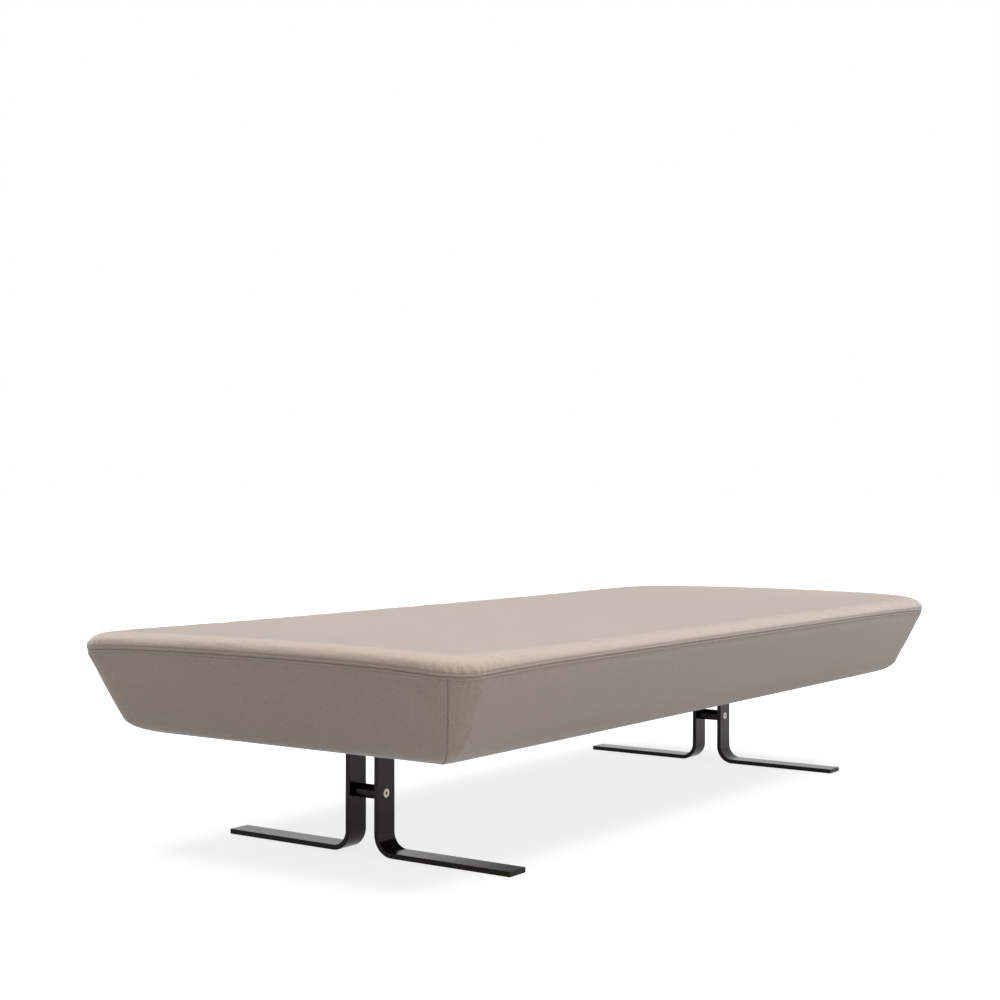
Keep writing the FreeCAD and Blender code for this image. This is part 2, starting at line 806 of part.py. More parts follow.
def placed_staples(play=0):
    shapes = []
    for middle, angle in staple_places():
        one = staple(play)
        one.Placement = turned(middle, UP, angle)
        shapes.append(one)
    return shapes


staple_holes = placed_staples(size("thread_play"))

LONG_CORNERS = {"front": ((-1, -1), (1, -1)), "rear": ((1, 1), (-1, 1))}
END_CORNERS = {"left": ((-1, 1), (-1, -1)), "right": ((1, -1), (1, 1))}
for side_label, corners in LONG_CORNERS.items():
    wood = rail(frame_top, corners)
    shaped("long_rail_%s" % side_label, bored(wood, screw_holes + staple_holes))
for end_name, corners in END_CORNERS.items():
    wood = rail(frame_top - size("webbing_thickness"), corners)
    shaped("end_rail_%s" % end_name, bored(wood, staple_holes))


# Cross bearers: flat boards between the long rails, bevelled to fit them

SLOPE = "(Sizes.side_inset / (Sizes.seam_height - Sizes.underside_height - Sizes.turn_height))"
LOW_HALF = ("(Sizes.body_width / 2 - %s * (Sizes.seam_height - Sizes.underside_height)"
            " - Sizes.side_foam - Sizes.rail_thickness * sqrt(1 + %s * %s))" % (SLOPE, SLOPE, SLOPE))


def bearer(label, place, width):
    """A board across the frame, sketched end on with sloping ends, in its place along the divan."""
    body = new_body(label + "_board")
    end_view = sketch_on(body, body.Name + "_section", "YZ_Plane")
    top_half = "(%s + %s * Sizes.bearer_thickness)" % (LOW_HALF, SLOPE)
    top = "Sizes.underside_height + Sizes.bearer_thickness"
    draw_polygon(end_view, (
        ("-" + LOW_HALF, "Sizes.underside_height"),
        (LOW_HALF, "Sizes.underside_height"),
        (top_half, top),
        ("-" + top_half, top),
    ))
    pad(body, end_view, "Sizes." + width, True)
    body.setExpression("Placement.Base.x", place)
    doc.recompute()
    return body


def bolt_holes():
    radius = size("nut_barrel") / 2 + size("thread_play")
    holes = []
    for place in bolt_places:
        start = vec(place.Base.x, place.Base.y, under_z)
        holes.append(Part.makeCylinder(radius, size("bearer_thickness"), start))
    return holes


for label, (place, width) in BEARERS.items():
    board = bearer(label, place, width)
    shaped(label, bored(board.Shape, screw_holes + bolt_holes()))


# Wood screws through the long rails into the bearers' ends

def wood_screw():
    """A countersunk screw that points down, its flat head up at height zero."""
    length = "Sizes.frame_screw_length"
    tip = "Sizes.frame_screw_diameter"
    shank = primitive("Cylinder", "wood_screw_shank", Radius="Sizes.frame_screw_diameter / 2",
                      Height=length + " - " + tip)
    shank.setExpression("Placement.Base.z", "-(" + length + " - " + tip + ")")
    point = primitive("Cone", "wood_screw_point", Radius1="Sizes.frame_screw_tip",
                      Radius2="Sizes.frame_screw_diameter / 2", Height=tip)
    point.setExpression("Placement.Base.z", "-" + length)
    head = primitive("Cone", "wood_screw_head", Radius1="Sizes.frame_screw_diameter / 2",
                     Radius2="Sizes.frame_screw_head / 2", Height="Sizes.frame_screw_head_depth")
    body = joined("Fuse", "wood_screw_body", shank, point)
    screw = joined("Fuse", "wood_screw", body, head)
    doc.recompute()
    return screw


frame_screw = wood_screw()
frame_screw_places = []
for x, sy, height in bearer_screw_places():
    place = vec(x, sy * seat_y(height), height)
    frame_screw_places.append(turned(place, ALONG, -90 * sy))
repeated("frame_screws", frame_screw, frame_screw_places)


# Corner blocks: glued into the corners of the frame, bevelled to fit the rails

def corner_block(sx, sy):
    """A three-cornered block, two faces on the sloping rails and an upright long face inwards."""
    bottom = under_z + size("bearer_thickness") + size("corner_block_room")
    top = frame_top - size("webbing_thickness") - size("corner_block_room")
    leg = size("corner_block_leg")
    foot_x = half_length - face_inset(bottom) - rail_level
    levels = []
    for height in (bottom, top):
        x = half_length - face_inset(height) - rail_level
        y = half_width - face_inset(height) - rail_level
        # the rails spread upwards and the long face stays upright, so the legs grow
        grown = leg + 2 * (x - foot_x)
        levels.append([
            vec(sx * x, sy * y, height),
            vec(sx * x, sy * (y - grown), height),
            vec(sx * (x - grown), sy * y, height),
        ])
    return between(*levels)


shaped("corner_blocks", Part.makeCompound([corner_block(sx, sy) for sx, sy in CORNERS]))


# Elastic webbing: straps along the frame on the end rails, straps across it on the long rails

def strap_middles(count, reach):
    """Middles of straps evenly spread between the rails."""
    return [reach * ((2 * number + 1) / count - 1) for number in range(int(count))]


def webbing():
    wide = size("webbing_width") / 2
    thick = size("webbing_thickness")
    inner = face_inset(frame_top) + rail_level
    inside_x = half_length - inner
    inside_y = half_width - inner
    end_x = inside_x + size("webbing_lap")
    end_y = inside_y + size("webbing_lap")
    across = []
    for x in strap_middles(size("cross_webbing_count"), inside_x):
        across.append(block(x - wide, x + wide, -end_y, end_y, frame_top, frame_top + thick))
    along = []
    for y in strap_middles(size("long_webbing_count"), inside_y):
        along.append(block(-end_x, end_x, y - wide, y + wide, frame_top - thick, frame_top))
    return Part.makeCompound(across), Part.makeCompound(along)


cross_straps, long_straps = webbing()
shaped("cross_webbing", cross_straps)
shaped("long_webbing", long_straps)


# Foam: a bevelled core on the webbing, four edge pieces round core and frame, a soft top layer

def bevelled(gap, bottom, top):
    """A block whose sides follow the slope of the rails' outer faces, less a gap."""
    levels = []
    for height in (bottom, top):
        x = half_length - face_inset(height) - gap
        y = half_width - face_inset(height) - gap
        levels.append([vec(sx * x, sy * y, height) for sx, sy in CORNERS])
    return between(*levels)


core_bottom = frame_top + size("webbing_thickness") + size("soft_gap")
core_top = seam_z - size("soft_gap")
shaped("foam_core", bevelled(size("soft_gap"), core_bottom, core_top))

inner_lower = lower_form(inner_offset)
edge_ring = inner_lower.cut(
    bevelled(-size("soft_gap"), under_z - CLEAR_OF_FACE, seam_z + CLEAR_OF_FACE))
edge_bottom = frame_bottom + size("rail_arris")
edge_ring = edge_ring.common(block(-BEYOND, BEYOND, -BEYOND, BEYOND, edge_bottom, core_top))
ring_corner = size("seam_corner_radius")
for name, foam in split_round(edge_ring, ring_corner, MITRE).items():
    shaped("edge_foam_" + name, clean(foam))
shaped("top_padding", upper_form(inner_offset, size("soft_gap") / 2))


# Cover: a top panel, two long side panels and two end panels, sewn together

def cover_band():
    """The sides of the cover with their hem turned flat under the frame."""
    band = lower_form(0).cut(lower_form(size("cover_thickness")))
    x = half_length - hem_inset()
    y = half_width - hem_inset()
    opening = block(-x, x, -y, y, 0, seam_z)
    return band.cut(opening)


top_panel = upper_form(0).cut(upper_form(size("cover_thickness")))
shaped("cover_top", clean(top_panel))
band_pieces = split_round(cover_band(), ring_corner, size("corner_seam_angle"))
for name, cloth in band_pieces.items():
    shaped("cover_" + name, bored(cloth, staple_holes))


# Lining under the frame, cut out round the leg plates and stapled through the hem

def lining():
    x = half_length - lining_inset()
    y = half_width - lining_inset()
    cloth = block(-x, x, -y, y, lining_bottom, lining_top)
    gap = size("lining_cutout_gap")
    half_plate = vec(size("plate_width") / 2 + gap, size("plate_length") / 2 + gap, 0)
    for end_sign in ENDS.values():
        middle = end_sign * leg_x
        cloth = cloth.cut(block(middle - half_plate.x, middle + half_plate.x,
                                -half_plate.y, half_plate.y, 0, seam_z))
    return bored(cloth, staple_holes)


shaped("underside_lining", lining())
shaped("lining_staples", Part.makeCompound(placed_staples()))


# Every object is sound before anything is written

doc.recompute()
for obj in doc.Objects:
    if "Invalid" in obj.State or "Error" in obj.State:
        raise RuntimeError("%s is %s" % (obj.Label, obj.State))
for obj in parts:
    if obj.Shape.isNull() or not obj.Shape.isValid() or not obj.Shape.Solids:
        raise RuntimeError("%s has no sound solid" % obj.Label)

os.makedirs("parts", exist_ok=True)
for obj in parts:
    obj.Shape.exportStep("parts/%s.step" % obj.Label)
    box = obj.Shape.BoundBox
    print("%-22s %3d solids %10.1f cm3  z %.1f to %.1f" % (
        obj.Label, len(obj.Shape.Solids), obj.Shape.Volume / 1000, box.ZMin, box.ZMax))
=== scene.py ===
import json
import math

import bpy
import numpy as np
from mathutils import Matrix, Vector

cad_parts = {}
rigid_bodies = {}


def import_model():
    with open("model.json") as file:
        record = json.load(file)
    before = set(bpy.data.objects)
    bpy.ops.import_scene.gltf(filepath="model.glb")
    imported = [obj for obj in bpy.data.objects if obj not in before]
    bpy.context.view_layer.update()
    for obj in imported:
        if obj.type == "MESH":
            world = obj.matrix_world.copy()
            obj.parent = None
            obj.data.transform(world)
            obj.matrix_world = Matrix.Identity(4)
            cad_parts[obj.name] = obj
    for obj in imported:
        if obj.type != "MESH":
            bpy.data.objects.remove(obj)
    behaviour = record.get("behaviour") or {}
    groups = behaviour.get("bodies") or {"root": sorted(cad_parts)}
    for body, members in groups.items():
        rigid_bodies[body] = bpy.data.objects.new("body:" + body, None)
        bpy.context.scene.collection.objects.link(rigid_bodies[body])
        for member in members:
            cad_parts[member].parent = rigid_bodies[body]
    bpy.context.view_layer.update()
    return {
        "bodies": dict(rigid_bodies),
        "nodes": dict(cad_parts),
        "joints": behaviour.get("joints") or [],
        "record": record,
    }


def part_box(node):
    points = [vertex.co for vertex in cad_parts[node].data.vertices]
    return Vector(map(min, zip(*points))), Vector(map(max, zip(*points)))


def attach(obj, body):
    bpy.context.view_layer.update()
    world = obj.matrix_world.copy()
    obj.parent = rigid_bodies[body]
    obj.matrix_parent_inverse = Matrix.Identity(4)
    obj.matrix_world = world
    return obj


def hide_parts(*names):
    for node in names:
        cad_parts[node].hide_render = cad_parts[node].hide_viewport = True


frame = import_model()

nodes = frame["nodes"]

# Leg bars, spacer rods and leg plates.
# Flat steel bar, 50 by 10 mm, bent into a foot, in pairs with a round rod between. The bars are
# welded to the plates, and all of it is powder coated satin black-brown. Its edges are painted lighter,
# partly as rubbed wear and partly as a painted highlight.


def new_material(name):
    """A material with an empty node tree, its output and its shader."""
    material = bpy.data.materials.new(name)
    material.use_nodes = True
    tree = material.node_tree
    tree.nodes.clear()
    output = tree.nodes.new("ShaderNodeOutputMaterial")
    shader = tree.nodes.new("ShaderNodeBsdfPrincipled")
    tree.links.new(shader.outputs["BSDF"], output.inputs["Surface"])
    return material, tree, shader


def add(tree, kind, inputs=None, **settings):
    """A node with its settings, and its inputs set to a value or linked to another node's socket."""
    made = tree.nodes.new("ShaderNode" + kind)
    for name, value in settings.items():
        setattr(made, name, value)
    for name, value in (inputs or {}).items():
        socket = made.inputs[name]
        if isinstance(value, bpy.types.NodeSocket):
            tree.links.new(value, socket)
        else:
            socket.default_value = value
    return made


def ramp(tree, factor, low, high, low_value=0.0, high_value=1.0):
    """Spreads a factor from low..high to low_value..high_value, smoothly, and returns the socket."""
    made = add(tree, "MapRange", {"Value": factor, "From Min": low, "From Max": high,
                                  "To Min": low_value, "To Max": high_value},
               interpolation_type="SMOOTHSTEP")
    return made.outputs["Result"]


def blend_colours(tree, factor, first, second):
    """Mixes two colours by a factor and returns the colour socket."""
    made = add(tree, "Mix", data_type="RGBA")
    for socket, value in zip((made.inputs[0], made.inputs[6], made.inputs[7]), (factor, first, second)):
        if isinstance(value, bpy.types.NodeSocket):
            tree.links.new(value, socket)
        else:
            socket.default_value = value
    return made.outputs[2]


def noise(tree, coordinates, scale, detail=2.0, stretch=(1, 1, 1)):
    """Noise at a scale, drawn out along the axes by a stretch, as a value socket."""
    mapped = add(tree, "Mapping", {"Vector": coordinates, "Scale": stretch})
    made = add(tree, "TexNoise", {"Vector": mapped.outputs["Vector"], "Scale": scale, "Detail": detail})
    return made.outputs["Fac"]


def dress(node_name, material):
    """Puts a material on a CAD node."""
    slots = nodes[node_name].data.materials
    slots.clear()
    slots.append(material)


powder_coat, tree, shader = new_material("powder_coat")
at = add(tree, "TexCoord").outputs["Object"]
cloudy = ramp(tree, noise(tree, at, 9, 3), 0.35, 0.65)
coat = blend_colours(tree, cloudy, (0.0048, 0.0031, 0.0015, 1), (0.0080, 0.0054, 0.0029, 1))
# Lighter colour along the edges, found from the bevel normal and broken into patches: partly rubbed wear,
# partly a painted highlight on the edges.
rounded = add(tree, "Bevel", {"Radius": 0.0012}, samples=4)
surface = add(tree, "NewGeometry")
facing = add(tree, "VectorMath", {0: rounded.outputs["Normal"], 1: surface.outputs["Normal"]},
             operation="DOT_PRODUCT")
on_edge = ramp(tree, facing.outputs["Value"], 0.99, 0.86)
patches = ramp(tree, noise(tree, at, 60, 4), 0.45, 0.7)
rubbed_and_highlit = add(tree, "Math", {0: on_edge, 1: patches}, operation="MULTIPLY")
worn_and_highlit = add(tree, "Math", {0: rubbed_and_highlit.outputs[0], 1: 0.55}, operation="MULTIPLY")
coat = blend_colours(tree, worn_and_highlit.outputs[0], coat, (0.06, 0.052, 0.045, 1))
tree.links.new(coat, shader.inputs["Base Color"])
smudged = ramp(tree, noise(tree, at, 22, 4), 0.3, 0.75, 0.14, 0.21)
tree.links.new(smudged, shader.inputs["Roughness"])
shader.inputs["Specular IOR Level"].default_value = 0.17
shader.inputs["Specular Tint"].default_value = (1.0, 0.88, 0.74, 1)
orange_peel = add(tree, "Bump", {"Height": noise(tree, at, 900, 1), "Strength": 0.18, "Distance": 0.0002})
tree.links.new(orange_peel.outputs["Normal"], shader.inputs["Normal"])

for end in ("left", "right"):
    dress("spacer_rod_" + end, powder_coat)
    dress("leg_plate_" + end, powder_coat)
    for side in ("front", "rear"):
        dress("leg_bar_" + end + "_" + side, powder_coat)

# Screws that hold the spacer rods, and the plate bolts.
# Countersunk machine screws, one through each bar into the rod's end, and button head bolts up
# through the leg plates. All are satin nickel, with a hexagon socket.

satin_nickel, tree, shader = new_material("satin_nickel")
at = add(tree, "TexCoord").outputs["Object"]
turned = noise(tree, at, 420, 2, (1, 0.08, 1))
nickel = blend_colours(tree, turned, (0.38, 0.33, 0.27, 1), (0.50, 0.45, 0.38, 1))
tree.links.new(nickel, shader.inputs["Base Color"])
tree.links.new(ramp(tree, turned, 0.3, 0.7, 0.26, 0.42), shader.inputs["Roughness"])
shader.inputs["Metallic"].default_value = 1.0
marks = add(tree, "Bump", {"Height": turned, "Strength": 0.2, "Distance": 0.0001})
tree.links.new(marks.outputs["Normal"], shader.inputs["Normal"])
dress("spacer_screws", satin_nickel)
dress("plate_bolts", satin_nickel)

# Tee nuts, wood screws and staples.
# Pressed and drawn steel with a bright zinc plate, inside the frame and under it.

zinc_plate, tree, shader = new_material("zinc_plate")
at = add(tree, "TexCoord").outputs["Object"]
spangle = noise(tree, at, 260, 3)
zinc = blend_colours(tree, spangle, (0.46, 0.47, 0.49, 1), (0.66, 0.67, 0.66, 1))
tree.links.new(zinc, shader.inputs["Base Color"])
tree.links.new(ramp(tree, spangle, 0.3, 0.7, 0.28, 0.5), shader.inputs["Roughness"])
shader.inputs["Metallic"].default_value = 1.0
marks = add(tree, "Bump", {"Height": spangle, "Strength": 0.15, "Distance": 0.0001})
tree.links.new(marks.outputs["Normal"], shader.inputs["Normal"])
for name in ("plate_nuts", "frame_screws", "lining_staples"):
    dress(name, zinc_plate)

# Wooden frame.
# Four sloping rails mitred at the corners, three cross bearers and four glued corner blocks,
# all planed beech. The grain runs along each piece.


def planed_beech(name, grain):
    """Beech whose grain runs along one axis: streaks drawn out along it, with short dark flecks."""
    material, tree, shader = new_material(name)
    at = add(tree, "TexCoord").outputs["Object"]
    stretch = tuple(0.06 if axis == grain else 1.0 for axis in range(3))
    streaks = noise(tree, at, 130, 4, stretch)
    flecks = noise(tree, at, 900, 2, tuple(0.12 if axis == grain else 1.0 for axis in range(3)))
    wood = blend_colours(tree, ramp(tree, streaks, 0.3, 0.7), (0.52, 0.33, 0.17, 1), (0.68, 0.48, 0.29, 1))
    wood = blend_colours(tree, ramp(tree, flecks, 0.62, 0.74, 0.0, 0.6), wood, (0.33, 0.19, 0.09, 1))
    tree.links.new(wood, shader.inputs["Base Color"])
    tree.links.new(ramp(tree, streaks, 0.3, 0.7, 0.62, 0.5), shader.inputs["Roughness"])
    pores = add(tree, "Bump", {"Height": flecks, "Strength": 0.25, "Distance": 0.0003})
    tree.links.new(pores.outputs["Normal"], shader.inputs["Normal"])
    return material


beech_along_x = planed_beech("beech_along_x", 0)
beech_along_y = planed_beech("beech_along_y", 1)
beech_along_z = planed_beech("beech_along_z", 2)
for name in ("long_rail_front", "long_rail_rear"):
    dress(name, beech_along_x)
for name in ("end_rail_left", "end_rail_right", "leg_bearer_left", "centre_bearer", "leg_bearer_right"):
    dress(name, beech_along_y)
dress("corner_blocks", beech_along_z)

# Elastic webbing.
# Woven elastic straps, 60 mm wide, tacked to the rails: four along the frame and thirteen over
# them across it. Black, ribbed across, with a paler line near each edge.


def grid_faces(rows, columns):
    """Quads between a grid's neighbouring rows and columns."""
    row = np.arange(rows - 1)[:, None] * columns
    column = np.arange(columns - 1)[None, :]
    first = row + column
    return np.stack([first, first + 1, first + columns + 1, first + columns], -1).reshape(-1, 4)


def new_piece(name, points, faces, material):
    """A smooth object from an array of points and a list of faces, riding on the divan's only body."""
    mesh = bpy.data.meshes.new(name)
    mesh.from_pydata(points.reshape(-1, 3).tolist(), [], faces)
    mesh.polygons.foreach_set("use_smooth", np.ones(len(mesh.polygons), bool))
    mesh.materials.append(material)
    made = bpy.data.objects.new(name, mesh)
    bpy.context.scene.collection.objects.link(made)
    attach(made, "root")
    return made


def give_uv(piece, per_point):
    """A UV map whose values are given per point of the mesh, in metres of cloth."""
    mesh = piece.data
    corner_point = np.zeros(len(mesh.loops), int)
    mesh.loops.foreach_get("vertex_index", corner_point)
    layer = mesh.uv_layers.new(name="cloth")
    layer.data.foreach_set("uv", per_point.reshape(-1, 2)[corner_point].astype(np.float32).ravel())


def thicken(piece, thickness):
    """Gives a sheet its wall, inwards from its face."""
    wall = piece.modifiers.new("wall", "SOLIDIFY")
    wall.thickness = thickness
    wall.offset = -1


strap_cloth, tree, shader = new_material("strap_cloth")
uv = add(tree, "UVMap", uv_map="cloth").outputs["UV"]
ribs = add(tree, "TexWave", {"Vector": uv, "Scale": 160, "Distortion": 0.6}, bands_direction="X")
from_middle = add(tree, "Math", {0: add(tree, "SeparateXYZ", {"Vector": uv}).outputs["Y"]},
                  operation="ABSOLUTE").outputs[0]
line = add(tree, "Math", {0: from_middle, 1: 0.022, 2: 0.0012}, operation="COMPARE").outputs[0]
dark = blend_colours(tree, ribs.outputs["Fac"], (0.018, 0.018, 0.019, 1), (0.05, 0.05, 0.052, 1))
tree.links.new(blend_colours(tree, line, dark, (0.3, 0.29, 0.27, 1)), shader.inputs["Base Color"])
tree.links.new(ramp(tree, ribs.outputs["Fac"], 0, 1, 0.9, 0.7), shader.inputs["Roughness"])
ribbed = add(tree, "Bump", {"Height": ribs.outputs["Fac"], "Strength": 0.5, "Distance": 0.0006})
tree.links.new(ribbed.outputs["Normal"], shader.inputs["Normal"])

STRAP_WIDTH = 0.060
STRAP_WALL = 0.0013
STRAP_LENGTH_POINTS = 161
STRAP_WIDTH_POINTS = 9
STRAP_DIP = 0.0001


def straps(name, node_name, count, along):
    """Straps evenly spread over a node's box, each along one axis. A strap lies lower than the box by
    a dip times 1 plus a half sine along it times 1 less the square of the share of its half width."""
    low, high = (np.array(corner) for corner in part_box(node_name))
    side_axis = 1 - along
    middles = np.linspace(low[side_axis] + STRAP_WIDTH / 2, high[side_axis] - STRAP_WIDTH / 2, count)
    length = np.linspace(low[along], high[along], STRAP_LENGTH_POINTS)[None, :, None]
    width = np.linspace(-0.5, 0.5, STRAP_WIDTH_POINTS)[None, None, :]
    share = (length - low[along]) / (high[along] - low[along])
    strap = np.zeros((count, STRAP_LENGTH_POINTS, STRAP_WIDTH_POINTS, 3))
    strap[..., along] = length
    strap[..., side_axis] = middles[:, None, None] + width * STRAP_WIDTH
    strap[..., 2] = high[2] - STRAP_DIP * (1 + (1 - (2 * width) ** 2) * np.sin(np.pi * share))
    one_strap = grid_faces(STRAP_LENGTH_POINTS, STRAP_WIDTH_POINTS)
    first_points = np.arange(count)[:, None, None] * STRAP_LENGTH_POINTS * STRAP_WIDTH_POINTS
    quads = (one_strap[None] + first_points).reshape(-1, 4)
    if along == 0:
        quads = quads[:, ::-1]
    piece = new_piece(name, strap, quads.tolist(), strap_cloth)
    across = width * STRAP_WIDTH + 0 * middles[:, None, None]
    give_uv(piece, np.stack(np.broadcast_arrays(length, across), -1))
    thicken(piece, STRAP_WALL)
    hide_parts(node_name)


straps("elastic_straps_across", "cross_webbing", 13, 1)
straps("elastic_straps_along", "long_webbing", 4, 0)

# Form of the upholstered body.
# All the soft pieces follow one form: a long slab with slightly bowed sides and round corners, a
# crowned top, sides that draw in towards the floor, a round turn-under and a flat hem.

SEAM_HALF_LENGTH = 1.0220
SEAM_HALF_WIDTH = 0.4555
SEAM_HEIGHT = 0.39025
SEAM_CORNER_RADIUS = 0.070
END_BOW = 0.0038
LONG_BOW = 0.0028
CORNER_DROOP = 0.0084
END_RISE = 0.0075
CROWN_HEIGHT = 0.0250
CROWN_RUN = 0.063
CROWN_POWER = 3.1
CROWN_END_GAIN = 0.27
TOP_DIP = 0.0020
SIDE_INSET = 0.0605
SIDE_BULGE = 0.0010
LOWER_RADIUS = 0.028
UNDER_RADIUS = 0.008
TURN_FLAT = 0.072
TURN_HEIGHT = 0.0310
UNDERSIDE = 0.2230
CORNER_SEAM_ANGLE = math.radians(34)
LONG_CELLS = 180
END_CELLS = 72
END_ARC_CELLS = 12
SIDE_ARC_CELLS = 20
LEAST_RADIUS = 0.005


def spread(cells):
    """Places from -1 to 1 with closer steps near both ends: a cubic whose slope falls to half there."""
    s = np.linspace(-1, 1, cells + 1)
    return 1.25 * s - 0.25 * s ** 3


def half_ring():
    """Half of the loop round the body, from the seam of the right front corner over the right end and
    the rear to the seam of the left rear corner: which corner a point belongs to, as shares of the
    straight runs, and the angle that it faces."""
    seam, square = CORNER_SEAM_ANGLE, math.pi / 2
    end_arc = np.linspace(0, seam, END_ARC_CELLS + 1)
    side_arc = np.linspace(seam, square, SIDE_ARC_CELLS + 1)
    angle = np.concatenate([-end_arc[:0:-1], np.zeros(END_CELLS + 1), end_arc[1:], side_arc[1:-1],
                            np.full(LONG_CELLS + 1, square), math.pi - side_arc[-2:0:-1]])
    end_y = np.concatenate([-np.ones(END_ARC_CELLS), spread(END_CELLS)])
    side_x = np.concatenate([-spread(LONG_CELLS), -np.ones(SIDE_ARC_CELLS - 1)])
    x_share = np.concatenate([np.ones(len(angle) - len(side_x)), side_x])
    y_share = np.concatenate([end_y, np.ones(len(angle) - len(end_y))])
    return x_share, y_share, angle


half = half_ring()
RING_X = np.concatenate([half[0], -half[0]])
RING_Y = np.concatenate([half[1], -half[1]])
RING_ANGLE = np.concatenate([half[2], half[2] + math.pi])
RING_POINTS = len(RING_ANGLE)
HALF_POINTS = RING_POINTS // 2
END_COUNT = END_CELLS + 2 * END_ARC_CELLS
LONG_COUNT = HALF_POINTS - END_COUNT
ARC_MIDDLE = (END_ARC_CELLS + SIDE_ARC_CELLS) // 2
TO_ARC_MIDDLE = ARC_MIDDLE - END_ARC_CELLS
GRID_ROWS = END_CELLS + 2 * ARC_MIDDLE
GRID_COLUMNS = LONG_CELLS + 2 * ARC_MIDDLE


def plan_ring(a, b, radius, bow=1):
    """Rounded rectangles of half sizes a and b: a corner's centre moved by its share, plus the radius
    in the facing direction, pushed outwards on each side by a bow times 1 less the square of the
    share along it. a, b and radius are columns, one row for each ring."""
    x = RING_X * (a - radius) + radius * np.cos(RING_ANGLE)
    y = RING_Y * (b - radius) + radius * np.sin(RING_ANGLE)
    fx, fy = x / a, y / b
    return x + bow * END_BOW * fx * (1 - fy ** 2), y + bow * LONG_BOW * fy * (1 - fx ** 2), fx, fy


def seam_level(fx, fy):
    """The seam's height: it droops in the corners and rises in the middle of the ends."""
    droop = CORNER_DROOP * np.clip(fx ** 2 * fy ** 2, 0, 1) ** 4
    rise = END_RISE * (1 - np.clip(fy ** 2, 0, 1)) * np.abs(fx) ** 8
    return SEAM_HEIGHT - droop + rise


def crown_level(inset, x, y):
    """Height of the top: the seam's level plus a quarter of a superellipse over the inset, fuller at
    the ends, less a shallow dip in the middle."""
    fx, fy = x / SEAM_HALF_LENGTH, y / SEAM_HALF_WIDTH
    share = np.clip(inset / CROWN_RUN, 0, 1)
    rise = CROWN_HEIGHT * (1 - (1 - share) ** CROWN_POWER) ** (1 / CROWN_POWER)
    dip = TOP_DIP * (1 - np.clip(fx ** 2, 0, 1)) * (1 - np.clip(fy ** 2, 0, 1))
    return seam_level(fx, fy) + rise * (1 + CROWN_END_GAIN * np.abs(fx) ** 4) - dip * share


def top_rings(insets, offset=0.0):
    """Rings of the crown at the given insets from the seam."""
    d = np.asarray(insets, float)[:, None]
    x, y, _, _ = plan_ring(SEAM_HALF_LENGTH - offset - d, SEAM_HALF_WIDTH - offset - d,
                           np.maximum(SEAM_CORNER_RADIUS - offset - d / 2, LEAST_RADIUS))
    return np.stack([x, y, crown_level(d, x, y) - offset], -1)


def side_rings(shares, offset=0.0):
    """Rings of the sides, from the seam at share 0 to the turn-under at share 1: straight in section,
    with a bulge of 4 s (1 - s)."""
    s = np.asarray(shares, float)[:, None]
    inset = SIDE_INSET * s - SIDE_BULGE * 4 * s * (1 - s) + offset
    x, y, fx, fy = plan_ring(SEAM_HALF_LENGTH - inset, SEAM_HALF_WIDTH - inset,
                             SEAM_CORNER_RADIUS + (LOWER_RADIUS - SEAM_CORNER_RADIUS) * s)
    return np.stack([x, y, seam_level(fx, fy) * (1 - s) + (UNDERSIDE + TURN_HEIGHT) * s], -1)


def turn_rings(angles, offset=0.0):
    """Rings of the turn-under: a quarter of a sheared ellipse whose tangents are the side's slope and
    the flat underside, with corners that tighten as they go under."""
    t = np.asarray(angles, float)[:, None]
    slant = SIDE_INSET / (SEAM_HEIGHT - UNDERSIDE - TURN_HEIGHT) * TURN_HEIGHT
    inset = SIDE_INSET + offset + slant * np.sin(t) + TURN_FLAT * (1 - np.cos(t))
    radius = UNDER_RADIUS + (LOWER_RADIUS - UNDER_RADIUS) * np.cos(t)
    x, y, _, _ = plan_ring(SEAM_HALF_LENGTH - inset, SEAM_HALF_WIDTH - inset, radius)
    return np.stack([x, y, UNDERSIDE + offset + (TURN_HEIGHT - offset) * (1 - np.sin(t)) + 0 * x], -1)


def filled(edge):
    """The points inside a ring, by a Coons blend of its four sides between the middles of its corners:
    the blend of two sides, plus the blend of the other two, less the blend of the four corners."""
    edge = np.roll(edge, TO_ARC_MIDDLE, axis=0)
    rows, columns = GRID_ROWS, GRID_COLUMNS
    right, rear = edge[:rows + 1], edge[rows:rows + columns + 1][::-1]
    left = edge[rows + columns:2 * rows + columns + 1][::-1]
    front = np.concatenate([edge[2 * rows + columns:], edge[:1]])
    u = np.linspace(0, 1, columns + 1)[None, :, None]
    v = np.linspace(0, 1, rows + 1)[:, None, None]
    corners = (1 - v) * ((1 - u) * front[0] + u * front[-1]) + v * ((1 - u) * rear[0] + u * rear[-1])
    return (1 - u) * left[:, None] + u * right[:, None] + (1 - v) * front[None] + v * rear[None] - corners


